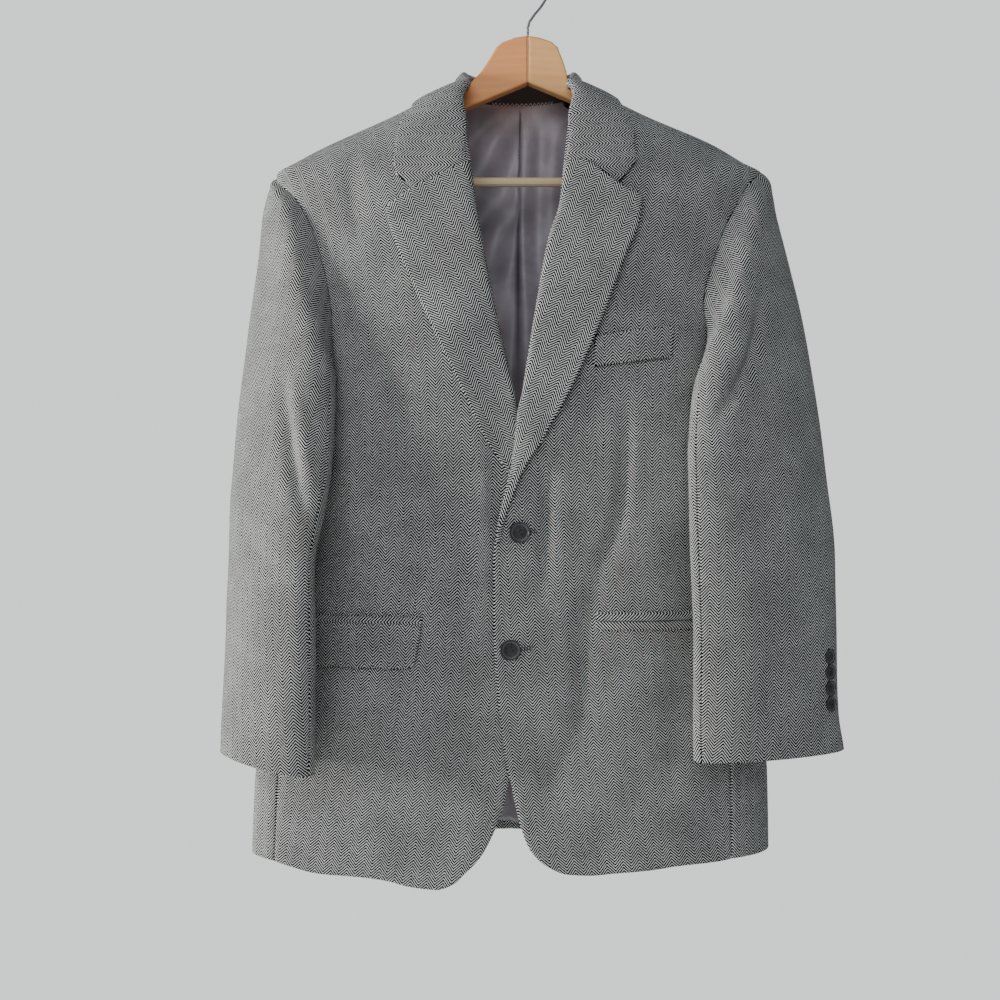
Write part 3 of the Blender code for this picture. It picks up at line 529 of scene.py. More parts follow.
def level_arc(middle, turn, z):
    """Length round the plain form at one height, from the turn middle."""
    share = np.linspace(0, 1, ARC_STEPS + 1)
    ring = plain_form(middle + (turn - middle)[..., None] * share, z[..., None])
    steps = np.linalg.norm(np.diff(ring, axis=-2), axis=-1)
    return np.sign(turn - middle) * steps.sum(axis=-1)


# ---------------------------------------------------------------- materials

class Finish:
    """A material in the making; each method adds a node and gives its output."""

    def __init__(self, name):
        self.made = bpy.data.materials.new(name)
        self.made.use_nodes = True
        self.tree = self.made.node_tree

    def fill(self, node, inputs):
        """Links outputs to a node's inputs and sets the others to their values."""
        for socket, value in inputs.items():
            if hasattr(value, "is_output"):
                self.tree.links.new(value, node.inputs[socket])
            else:
                node.inputs[socket].default_value = value

    def add(self, kind, inputs, output, **settings):
        node = self.tree.nodes.new("ShaderNode" + kind)
        for name, value in settings.items():
            setattr(node, name, value)
        self.fill(node, inputs)
        return node.outputs[output]

    def surface(self, **inputs):
        """Sets the surface's inputs, named in words joined by underscores."""
        words = {"specular": "Specular IOR Level"}
        named = {words.get(key, key.replace("_", " ").title()): value for key, value in inputs.items()}
        self.fill(self.tree.nodes["Principled BSDF"], named)

    def math(self, operation, first, second=0.5):
        return self.add("Math", {0: first, 1: second}, 0, operation=operation)

    def times(self, first, second):
        return self.math("MULTIPLY", first, second)

    def plus(self, first, second):
        return self.math("ADD", first, second)

    def noise(self, vector, scale, detail=2.0, roughness=0.5):
        return self.add("TexNoise", {"Scale": scale, "Detail": detail, "Roughness": roughness,
                                     "Vector": vector}, "Fac")

    def spread(self, value, low, high, to_low=0.0, to_high=1.0):
        """Moves a range of values softly to another range."""
        return self.add("MapRange", {"Value": value, "From Min": low, "From Max": high, "To Min": to_low,
                                     "To Max": to_high}, "Result", interpolation_type="SMOOTHSTEP")

    def mix(self, share, first, second):
        first, second = ((*tint, 1) if isinstance(tint, tuple) else tint for tint in (first, second))
        return self.add("Mix", {0: share, 6: first, 7: second}, 2, data_type="RGBA")

    def cut(self):
        """Places on the flat cloth."""
        return self.add("UVMap", {}, "UV", uv_map="cut")

    def place(self, scale=(1, 1, 1), tilt=0.0):
        """Places in the object's own space."""
        return self.add("Mapping", {"Vector": self.add("TexCoord", {}, "Object"), "Scale": scale,
                                    "Rotation": (0, tilt, 0)}, "Vector")

    def painted(self, name):
        """Values that a piece carries at its points."""
        return self.add("Attribute", {}, "Fac", attribute_name=name)

    def bump(self, height, distance, strength):
        return self.add("Bump", {"Distance": distance, "Strength": strength, "Height": height}, "Normal")


def material(name, paint, *settings):
    """The material of this name, painted the first time it is asked for."""
    found = bpy.data.materials.get(name)
    if not found:
        finish = Finish(name)
        paint(finish, *settings)
        found = finish.made
    return found


def tweed(finish):
    """Herringbone of off-white and near-black yarn, drawn in the cloth's own UV map."""
    cloth = bpy.context.scene.jacket_cloth
    dark, light = tuple(cloth.dark_yarn), tuple(cloth.light_yarn)
    flat = finish.cut()
    parts = finish.tree.nodes.new("ShaderNodeSeparateXYZ")
    finish.fill(parts, {0: flat})
    unit_length = WEAVE * MM
    wander = finish.noise(flat, 26.0)
    fuzz = finish.noise(flat, 120.0, 3.0, 0.6)
    fibre = finish.noise(flat, 330.0, 2.0, 0.6)
    across = finish.plus(parts.outputs["X"], finish.times(wander, 0.006))
    zigzag = finish.math("PINGPONG", across, cloth.column_width / unit_length)
    raised = finish.plus(parts.outputs["Y"], finish.times(zigzag, cloth.rib_slope))
    raised = finish.plus(raised, finish.times(fuzz, 0.010))
    rib = finish.math("SINE", finish.times(raised, 2 * math.pi * unit_length / cloth.rib_pitch))
    stray = finish.times(finish.math("SUBTRACT", fibre, 0.5), 0.9)
    shown = finish.spread(finish.plus(rib, stray), 0.43, 0.69)
    fleck = finish.times(finish.spread(finish.noise(flat, 190.0, 1.0), 0.56, 0.72), 0.22)
    yarn = finish.mix(fleck, finish.mix(shown, dark, light), dark)
    patch = finish.spread(finish.noise(flat, 2.2, 3.0), 0.3, 0.7, 0.86, 1.10)
    shade = finish.add("HueSaturation", {"Color": yarn, "Value": patch}, "Color")
    height = finish.plus(finish.times(shown, 0.6), finish.times(fibre, 0.8))
    finish.surface(base_color=shade, roughness=0.92, specular=0.06, sheen_weight=0.04,
                   sheen_roughness=0.55, normal=finish.bump(height, 0.0004, 0.7))


def satin(finish):
    """Satin with a fine rib, a soft sheen and painted shade along the pleat's groove."""
    colour = tuple(bpy.context.scene.jacket_cloth.lining_colour)
    flat = finish.cut()
    thread = finish.noise(flat, 240.0, 1.0)
    soft = finish.spread(finish.noise(flat, 3.0, 3.0), 0.35, 0.65)
    tint = finish.mix(soft, tuple(value * 0.72 for value in colour), colour)
    tint = finish.mix(finish.times(thread, 0.16), tint, (0.30, 0.27, 0.32))
    # painted shade: the satin darkens to near black along the pleat's groove, standing in for the fold's
    # shadow
    tint = finish.mix(finish.times(finish.painted("pleat_painted_shade"), 0.85), tint, (0.02, 0.016, 0.024))
    finish.surface(base_color=tint, roughness=0.40, anisotropic=0.4, sheen_weight=0.25,
                   sheen_roughness=0.4, specular=0.5, normal=finish.bump(thread, 0.0002, 0.25))


def felt(finish):
    """Plain dark navy felt."""
    fibre = finish.noise(finish.place(), 1400.0, 3.0, 0.7)
    finish.surface(base_color=finish.mix(fibre, (0.016, 0.018, 0.028), (0.050, 0.055, 0.080)),
                   roughness=0.85, sheen_weight=0.2, normal=finish.bump(fibre, 0.0003, 0.5))


def thread(finish, colour):
    twist = finish.noise(finish.place(), 2600.0)
    finish.surface(base_color=finish.mix(twist, tuple(value * 0.6 for value in colour), colour),
                   roughness=0.7, normal=finish.bump(twist, 0.0002, 0.5))


def horn(finish):
    """Dark grey button stock with faint streaks, a soft polish and a painted highlight ring."""
    colour = tuple(bpy.context.scene.jacket_trim.horn)
    streak = finish.noise(finish.place((1, 1, 0.35)), 210.0, 3.0)
    lift = tuple(value * 1.9 + 0.008 for value in colour)
    tint = finish.mix(finish.spread(streak, 0.40, 0.75), colour, lift)
    # painted highlight: a lighter ring between about 0.65 and 0.9 of the radius, where the rim's inner
    # wall would catch the light
    radius = finish.painted("from_centre")
    highlight_ring = finish.times(finish.spread(radius, 0.64, 0.74), finish.spread(radius, 0.90, 0.80))
    tint = finish.mix(finish.times(highlight_ring, 0.8), tint, (0.12, 0.12, 0.125))
    finish.surface(base_color=tint, roughness=finish.spread(streak, 0.3, 0.8, 0.26, 0.36),
                   normal=finish.bump(streak, 0.0001, 0.06))


def wood(finish, colour, tilt):
    """Clear-lacquered wood with long grain lines."""
    vector = finish.place((0.12, 1.0, 1.0), tilt)
    broad = finish.noise(vector, 90.0, 4.0, 0.55)
    fine = finish.noise(vector, 620.0, 3.0, 0.6)
    rings = finish.add("TexWave", {"Scale": 46.0, "Distortion": 5.0, "Detail": 3.0, "Vector": vector},
                       "Fac", wave_type="BANDS", bands_direction="Z")
    grain = finish.plus(finish.times(rings, 0.22), finish.times(broad, 0.78))
    dark = tuple(value * share for value, share in zip(colour, (0.94, 0.87, 0.80)))
    tint = finish.mix(finish.spread(grain, 0.30, 0.72), dark, colour)
    finish.surface(base_color=finish.mix(finish.times(fine, 0.18), tint, dark), roughness=0.50,
                   specular=0.25, coat_weight=0.10, coat_roughness=0.25,
                   normal=finish.bump(fine, 0.0002, 0.2))


def wire(finish):
    rub = finish.noise(finish.place(), 500.0, 3.0)
    finish.surface(base_color=finish.mix(rub, (0.42, 0.43, 0.45), (0.66, 0.67, 0.69)), metallic=1.0,
                   roughness=finish.spread(rub, 0.3, 0.7, 0.2, 0.36))


CLOTH_FINISH = {"tweed": ("herringbone_tweed", tweed), "lining": ("satin_lining", satin),
                "navy": ("navy_felt", felt)}


# ---------------------------------------------------------------- making cloth

def grid_normals(points, wraps=False):
    """Unit normals of a grid of points; a sleeve's columns wrap round."""
    if wraps:
        across = np.roll(points, -1, axis=1) - np.roll(points, 1, axis=1)
    else:
        across = np.gradient(points, axis=1)
    return unit(np.cross(across, np.gradient(points, axis=0)))


def quad_faces(rows, columns):
    row, col = np.meshgrid(np.arange(rows - 1), np.arange(columns - 1), indexing="ij")
    corner = (row * columns + col).ravel()
    return np.stack([corner, corner + 1, corner + 1 + columns, corner + columns], 1)


def rim_places(rows, columns):
    """Rows and columns of a grid's rim, once round."""
    rim = [(0, col) for col in range(columns)]
    rim += [(row, columns - 1) for row in range(1, rows)]
    rim += [(rows - 1, col) for col in range(columns - 2, -1, -1)]
    rim += [(row, 0) for row in range(rows - 2, 0, -1)]
    return np.array(rim)


def new_mesh(name, points, faces, uv_name):
    """A linked object on millimetre points, with an empty UV map and each corner's point."""
    mesh = bpy.data.meshes.new(name)
    mesh.from_pydata((points * MM).tolist(), [], faces.tolist())
    mesh.uv_layers.new(name=uv_name)
    index = np.empty(len(mesh.loops), np.int32)
    mesh.loops.foreach_get("vertex_index", index)
    return link_object(name, mesh), mesh.uv_layers[uv_name].data, index


def link_object(name, data):
    made = bpy.data.objects.new(name, data)
    bpy.context.scene.collection.objects.link(made)
    return made


def select_only(*chosen):
    """Selects these objects alone and makes the first one active."""
    if bpy.context.mode != "OBJECT":
        bpy.ops.object.mode_set(mode="OBJECT")
    bpy.ops.object.select_all(action="DESELECT")
    for item in chosen:
        item.select_set(True)
    if chosen:
        bpy.context.view_layer.objects.active = chosen[0]


def declare(made, node=None):
    """Says which body a piece moves with, and hides the CAD node it stands for."""
    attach(made, "root")
    if node:
        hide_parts(node)


def surface_area(points):
    a, b = points[1:, 1:] - points[:-1, :-1], points[1:, :-1] - points[:-1, 1:]
    return float(np.linalg.norm(np.cross(a, b), axis=-1).sum() / 2 * MM * MM)


def cloth_piece(name, middle, way, cut, slot="tweed", thickness=CLOTH, swell=0.9,
                node=None):
    """A wall of cloth with rounded edges, its UV map on the flat cloth, and its declarations.

    middle is a grid of millimetre points, way their unit normals, cut the grid's places on the flat cloth.
    """
    rows, columns = middle.shape[:2]
    count = rows * columns
    half = thickness / 2
    rim = rim_places(rows, columns)
    rim_middle = middle[rim[:, 0], rim[:, 1]]
    inside = middle[np.clip(rim[:, 0], 1, rows - 2), np.clip(rim[:, 1], 1, columns - 2)]
    bulge = rim_middle + unit(rim_middle - inside) * half * swell
    outer, inner = (middle + way * half).reshape(-1, 3), (middle - way * half).reshape(-1, 3)
    ring = rim[:, 0] * columns + rim[:, 1]
    ring_next = np.roll(ring, -1)
    edge = 2 * count + np.arange(len(ring))
    edge_next = np.roll(edge, -1)
    face = quad_faces(rows, columns)
    near = np.stack([ring_next, ring, edge, edge_next], 1)
    far = np.stack([edge_next, edge, ring + count, ring_next + count], 1)
    faces = np.concatenate([face, face[:, ::-1] + count, near, far])
    made, layer, index = new_mesh(name, np.concatenate([outer, inner, bulge]), faces, "cut")
    mesh = made.data
    flat = cut.reshape(-1, 2)
    places = np.concatenate([flat, flat, flat[ring]]) / WEAVE
    layer.foreach_set("uv", places[index].astype(np.float32).ravel())
    shape = bmesh.new()
    shape.from_mesh(mesh)
    bmesh.ops.recalc_face_normals(shape, faces=shape.faces)
    shape.to_mesh(mesh)
    shape.free()
    mesh.shade_smooth()
    mesh.materials.append(material(*CLOTH_FINISH[slot]))
    declare(made, node)
    return made


def laid_flat(points, grain_foot, grain_head):
    """Places of a grid of points on flat cloth, with the least stretch and the grain upright."""
    pattern, layer, index = new_mesh(
        "flat_pattern", points.reshape(-1, 3), quad_faces(*points.shape[:2]), "flat")
    select_only(pattern)
    bpy.ops.object.mode_set(mode="EDIT")
    bpy.ops.mesh.select_all(action="SELECT")
    bpy.ops.uv.unwrap(method="MINIMUM_STRETCH", correct_aspect=False, margin=0)
    bpy.ops.object.mode_set(mode="OBJECT")
    place = np.empty(2 * len(index), np.float32)
    pattern.data.uv_layers["flat"].data.foreach_get("uv", place)
    flat = np.zeros((points.size // 3, 2))
    flat[index] = place.reshape(-1, 2)
    flat = flat.reshape(*points.shape[:2], 2)
    bpy.data.objects.remove(pattern, do_unlink=True)
    a, b = flat[1:, 1:] - flat[:-1, :-1], flat[1:, :-1] - flat[:-1, 1:]
    covered = np.abs((a[..., 0] * b[..., 1] - a[..., 1] * b[..., 0]).sum()) / 2
    flat *= math.sqrt(surface_area(points) / covered) / MM
    grain = unit(flat[grain_head] - flat[grain_foot])
    return np.stack([flat @ np.array([grain[1], -grain[0]]), flat @ grain], -1)


def drawn_in(grid, gap):
    """The same grid of body places with its four edges moved inwards by gap millimetres."""
    points, made = body_base(grid[..., 0], grid[..., 1]), grid.copy()
    for place, turn, moved in ((points, grid, made),
                               (points.swapaxes(0, 1), grid.swapaxes(0, 1), made.swapaxes(0, 1))):
        for edge, near in ((0, 1), (-1, -2)):
            length = np.linalg.norm(place[near] - place[edge], axis=-1)
            share = np.minimum(gap / np.maximum(length, 1e-6), 0.45)
            moved[edge] += (turn[near] - turn[edge]) * share[..., None]
    return made


def panel_cut(grid, where, side):
    """Places of a body panel on its flat cloth, with the grain upright."""
    form = plain_form(grid[..., 0], grid[..., 1])
    z = form[..., 2]
    if where == "side":
        return np.stack([level_arc(SIDE_TURN[side], grid[..., 0], z), z], -1)
    upright = GRAIN_LINE[where] * np.sign(form[..., 0].mean())
    foot, head = (
        np.unravel_index(np.argmin(np.hypot(form[..., 0] - upright, z - height)), z.shape)
        for height in GRAIN_ENDS)
    flat = laid_flat(form, foot, head)
    return flat + (form[foot][0] - flat[foot][0], form[foot][2] - flat[foot][1])


def lay_panel(side, part, grid, where, swell=0.6):
    """A cut panel on the body's form, from a grid of (turn, z)."""
    grid_in = drawn_in(grid, PANEL_IN)
    out = under_lap(body_base(grid[..., 0], grid[..., 1]), side if where == "front" else "left")
    places, way = on_body(grid_in)
    node = side + part
    cloth_piece(node + "_cloth", places + way * (out - CLOTH / 2)[..., None], way,
                panel_cut(grid_in, where, side), swell=swell, node=node)


# ---------------------------------------------------------------- body

def armhole(side):
    """Armhole as (turn, z): down the front, under the arm and up the back."""
    middle = SIDE_TURN[side]
    top = (middle, SHOULDER_POINT[side])
    seam = to_turns(SIDE_SEAM_FRONT[side][:1], side)[0]
    back_seam = (middle - (seam[0] - middle) * HIND_REACH, seam[1])
    fore = along([top, *to_turns(ARMHOLE_FRONT[side], side), seam], ARMHOLE_CELLS, turn_weight=3.0)
    under = along([seam, (middle, UNDERARM[side]), back_seam], UNDERARM_CELLS)
    aft = along([back_seam, *to_turns(ARMHOLE_BACK[side], "back")[::-1], top], ARMHOLE_CELLS,
                turn_weight=3.0)
    return fore, under, aft


def build_fronts_and_backs():
    rows = SEAM_CELLS + ARMHOLE_CELLS
    for side, middle in SIDE_TURN.items():
        fore, under, aft = armhole(side)
        seam = to_turns(SIDE_SEAM_FRONT[side], side)
        seam[0] = fore[-1]
        side_seam = along(seam, SEAM_CELLS)[::-1]
        outer_edge = np.concatenate([side_seam, fore[::-1][1:]])
        points = to_turns(along(EDGE[side], 4 * rows), side)
        front_edge = along([*points, (middle, NECK_SEAM[side])], rows, turn_weight=1.4)
        heights = np.linspace(SHOULDER_POINT[side], NECK_SEAM[side], SHOULDER_CELLS + 1)
        shoulder = np.stack([np.full_like(heights, middle), heights], 1)
        hem = to_turns(along(HEM_FRONT[side], SHOULDER_CELLS), side)
        hem[0] = side_seam[0]
        lay_panel(side, "_front", between(hem, shoulder, outer_edge, front_edge), "front", swell=0.8)

        back_foot = (2 * middle - side_seam[0][0], CENTRE_BACK_HEM + 2)
        back_seam = along([aft[0], ((aft[0][0] + back_foot[0]) / 2, -650), back_foot], SEAM_CELLS)[::-1]
        hem_side = along([side_seam[0], (middle, side_seam[0][1] + 4), back_seam[0]], UNDERARM_CELLS)
        lay_panel(side, "_side_panel", between(hem_side, under, side_seam, back_seam), "side")

        centre = np.stack([np.full(rows + 1, MID_BACK),
                           np.linspace(CENTRE_BACK_HEM, NECK_SEAM["back"], rows + 1)], 1)
        back_edge = np.concatenate([back_seam, aft[1:]])
        neckline, hem_back = (
            along([first, ((first[0] + MID_BACK) / 2, height), (MID_BACK, height)], cells)
            for first, height, cells in (
                (shoulder[-1], NECK_SEAM["back"], NECK_CELLS),
                (back_seam[0], CENTRE_BACK_HEM, SHOULDER_CELLS + NECK_CELLS)))
        top = np.concatenate([shoulder, neckline[1:]])
        lay_panel(side, "_back", between(hem_back, top, back_edge, centre), "back")


def off_pleat(x, z):
    """How far to the left of the lining's leaning pleat a place is."""
    return x + 8.0 - (z + 130) * 0.012


def build_lining():
    """The back lining, with its pleat down the middle, and the turned-up hem below it."""
    columns, rows = 150, 170
    heights = np.linspace(CENTRE_BACK_HEM + LINING_UP, BAND_FOOT + 1, rows)
    spaced = np.linspace(-1, 1, columns + 1)
    turns = MID_BACK + LINING_REACH * (0.25 * spaced + 0.75 * spaced**3)
    narrow = np.interp(heights, (-420, -330, -230, -128), (1.0, 0.9, 0.85, 0.85))
    grid = np.empty((rows, columns + 1, 2))
    grid[..., 0] = MID_BACK + (turns[None] - MID_BACK) * narrow[:, None]
    grid[..., 1] = heights[:, None]
    places, way = on_body(grid)
    x, z = places[..., 0], places[..., 2]
    off = off_pleat(x, z)
    pleat = 2.8 * np.tanh(off / 0.8) * np.exp(-((off / 16) ** 2))
    pleat = pleat - 4.6 * np.exp(-(((off - PLEAT_GROOVE) / 1.6) ** 2))
    folds = np.where(off > 0, 2.2, 0.8) * np.sin(off * 0.19 + 0.7 * np.sin(z * 0.02))
    folds = folds * np.exp(-((off / 70) ** 2))
    slant = off * 0.055 - (z + 200) * 0.030
    drape = 3.4 * np.sin(slant * 1.9) * np.exp(-(((z + 230) / 140) ** 2)) * (off < 0)
    drape = drape + 0.8 * np.sin(off * 0.09 - z * 0.03)
    fade = np.clip((-132 - z) / 30, 0, 1)
    inward = CLOTH + 3.6 + LINING / 2 + fade * (4.2 + pleat + 1.25 * folds + 1.3 * drape)
    middle = places - way * inward[..., None]
    made = cloth_piece("back_lining_satin", middle, grid_normals(middle), np.stack([x, z], -1),
                       "lining", LINING * 0.5, swell=0.5,
                       node="back_lining")
    # painted shade: marks the points along the pleat's groove, where the satin is darkened to stand in for
    # the fold's shadow
    pleat_shade_layer = made.data.attributes.new("pleat_painted_shade", "FLOAT", "POINT")
    points = np.array([vertex.co for vertex in made.data.vertices]) / MM
    beside_groove = off_pleat(points[:, 0], points[:, 2]) - PLEAT_GROOVE
    painted_pleat_shade = np.exp(-(beside_groove**2)) * (points[:, 2] < -131)
    pleat_shade_layer.data.foreach_set("value", painted_pleat_shade.astype(np.float32))

    heights = np.linspace(CENTRE_BACK_HEM + 1.5, CENTRE_BACK_HEM + HEM_TURN, 14)
    places, way = on_body(np.stack(np.meshgrid(turns, heights), -1))
    middle = places - way * (CLOTH + 1.1)
    cloth_piece("back_hem_turn_cloth", middle, way, middle[..., (0, 2)],
                thickness=1.0, swell=0.5)


# ---------------------------------------------------------------- lapels and collar

def rolled_edge(fold, toward, way, top, under, strip):
    """Columns of points that come from inside, round a fold, up to the height of the leaf."""
    radius, centre = (top - under) / 2, (top + under) / 2
    fold = fold + toward * (radius + CLOTH / 2)[:, None]
    columns = [fold + toward * (strip * share)[:, None] + way * under[:, None]
               for share in (1, 0.7, 0.4, 0.12)]
    for angle in np.radians(np.linspace(-80, 80, 9)):
        columns.append(fold - toward * (radius * math.cos(angle))[:, None]
                       + way * (centre + radius * math.sin(angle))[:, None])
    return columns


def build_lapels():
    rows, across_cells = 110, 26
    strip = bpy.context.scene.jacket_cloth.roll_strip / MM
    for side in SIDE_TURN:
        roll = to_turns(along(LAPEL_ROLL[side], rows), side)
        edge = to_turns(along(LAPEL_EDGE[side], rows), side)
        gorge = to_turns(along([*GORGE[side], LAPEL_EDGE[side][-1]], across_cells), side)
        foot = along([roll[0], edge[0]], across_cells)
        grid = drawn_in(between(foot, gorge, roll, edge, low=1, high=1), SEAM)
        up = np.linspace(0, 1, grid.shape[0])[:, None]
        across = np.linspace(0, 1, grid.shape[1])[None]
        puffed = np.clip((up - PUFF_FROM[side]) / 0.25, 0, 1)
        rise = 3.4 * np.sin(np.pi * (0.18 + 0.82 * across) ** 0.8) + LAPEL_LIFT[side] * across**2
        height = LYING + rise * puffed
        places, way = on_body(grid)
        lap = under_lap(places, side)
        leaf = places + way * (height + lap)[..., None]
        begun = ease((np.arange(rows + 1) - 2) / 14)
        fold = places[:, 0] + way[:, 0] * lap[:, :1]
        toward = unit(places[:, 2] - places[:, 0])
        top = height[:, 0]
        under = (LYING - 0.6) * (1 - begun) - (CLOTH + 1.3) * begun
        rolled = np.stack(rolled_edge(fold, toward, way[:, 0], top, under,
                                      0.4 * (1 - begun) + strip * begun), 1)
        reach = np.linalg.norm(places - places[:, :1], axis=-1)
        kept = np.clip(reach / np.maximum(reach[:, -1:], 1), 0, 1)
        pushed = (top - under)[:, None] * 0.5 + CLOTH / 2
        leaf = (leaf + (toward[:, None] * ((1 - kept) ** 3 * pushed)[..., None]))[:, 1:]
        points = np.concatenate([rolled, leaf], 1)
        grain = unit(np.subtract(LAPEL_EDGE[side][-3], LAPEL_EDGE[side][2]).astype(float))
        flat = leaf[..., (0, 2)]
        run = np.linalg.norm(np.diff(points[:, :rolled.shape[1] + 1], axis=1), axis=-1)
        inside = np.cumsum(run[:, ::-1], axis=1)[:, ::-1]
        turned = flat[:, :1] - unit(toward[:, (0, 2)])[:, None] * inside[..., None]
        flat = np.concatenate([turned, flat], 1)
        cut = np.stack([flat @ np.array([grain[1], -grain[0]]), flat @ grain], -1)
        if side == "right":
            points, cut = points[:, ::-1], cut[:, ::-1]
        cloth_piece(side + "_lapel_cloth", points, grid_normals(points), cut,
                    node=side + "_lapel")


def neck_line(right_points, back_points, left_points, count):
    """A line from the right front round the neck to the left front, as (turn, z)."""
    right, left = to_turns(right_points, "right"), to_turns(left_points, "left")
    return along([*right, *back_points, *left[::-1]], count, turn_weight=2.5)


def build_collar():
    count, leaf_cells = 190, 26
    back_edge = to_turns(COLLAR_BACK_EDGE, "back")
    edge = neck_line(
        (COLLAR_TIP["right"], *COLLAR_EDGE["right"]), (COLLAR_SIDE[0], *back_edge, COLLAR_SIDE[1]),
        (COLLAR_TIP["left"], *COLLAR_EDGE["left"]), count)
    fold = neck_line(
        (GORGE["right"][0], *FOLD_LINE["right"]), FOLD_BACK, (GORGE["left"][0], *FOLD_LINE["left"]), count)
    start, end = (
        to_turns(along([*GORGE[side], COLLAR_TIP[side]], leaf_cells, straight=True), side)
        for side in SIDE_TURN)
    leaf = drawn_in(between(fold, edge, start, end, low=1, high=1, sides=12), SEAM)
    across = np.linspace(0, 1, leaf.shape[0])[:, None]
    height = LYING + 2.4 * np.sin(np.pi * across**0.75) + 0.3 * across**2
    places, way = on_body(leaf)
    toward = unit(places[3] - places[0])
    ones = np.ones(count + 1)
    under = -(CLOTH + 0.9)
    pushed = (LYING - under) / 2 + CLOTH / 2
    columns = rolled_edge(places[0], toward, way[0], ones * LYING, ones * under, ones * COLLAR_STRIP)
    lain = places + way * height[..., None] + toward[None] * ((1 - across) ** 3 * pushed)[..., None]
    points = np.concatenate([np.stack(columns, 0), lain[1:]], 0)[::-1]
    cut = laid_flat(points, (0, count // 2), (len(points) // 2, count // 2))
    cloth_piece("collar_cloth", points, grid_normals(points), cut,
                node="collar")


def build_neck_band():
    """Navy felt inside the back of the neck, with its white zigzag stitch."""
    rows, stitches = 14, 30
    turns = np.linspace(*BAND_ENDS, 120)
    top = np.interp(turns, *zip(*BAND_TOP))
    share = np.linspace(0, 1, rows)[:, None]
    band = np.stack(np.broadcast_arrays(turns, BAND_FOOT + (top - BAND_FOOT) * share), -1)
    places, way = on_body(band)
    middle = places - way * (CLOTH + 2.6 + 1.6 * share[::-1, None] ** 2)
    cloth_piece("neck_band_felt", middle, way, band, "navy", 1.2, swell=0.5,
                node="neck_band")

    turn = np.linspace(*STITCH_ENDS, stitches + 1)
    z = BAND_FOOT + np.where(np.arange(stitches + 1) % 2, -0.8, 2.0)
    made = thread_along("neck_zigzag_stitch", body(turn, z, np.full(turn.shape, -(CLOTH + 5.4))), 0.42,
                        material("white_thread", thread, (0.95, 0.94, 0.92)))
    declare(made)


def thread_along(name, points, radius, finish):
    """A thread laid along points, as a mesh."""
    curve = bpy.data.curves.new(name, "CURVE")
    curve.dimensions = "3D"
    curve.bevel_depth = radius * MM
    curve.bevel_resolution = 1
    curve.use_fill_caps = True
    spline = curve.splines.new("POLY")
    spline.points.add(len(points) - 1)
    for point, place in zip(spline.points, points):
        point.co = (*(float(value) * MM for value in place), 1)
    select_only(link_object(name, curve))
    bpy.ops.object.convert(target="MESH")
    made = bpy.context.view_layer.objects.active
    made.data.materials.clear()
    made.data.materials.append(finish)
    bpy.ops.object.shade_smooth()
    return made


# ---------------------------------------------------------------- sleeves

def clear_of_body(points, highest, clearance):
    """The points below a height, moved out where they are in the body or too near it."""
    x, y, z = points[..., 0], points[..., 1], points[..., 2]
    left, right, power = (section(z, name) for name in ("left", "right", "power"))
    depth = np.where(y < 0, section(z, "front"), section(z, "back")) + clearance
    off_centre = x - (left + right) / 2
    level = np.abs(off_centre / ((right - left) / 2 + clearance)) ** power + np.abs(y / depth) ** power
    grow = np.where((level < 1) & (z < highest), np.maximum(level, 0.05) ** (-1 / power), 1.0)
    return np.stack([x + off_centre * (grow - 1), y * grow, z], -1)


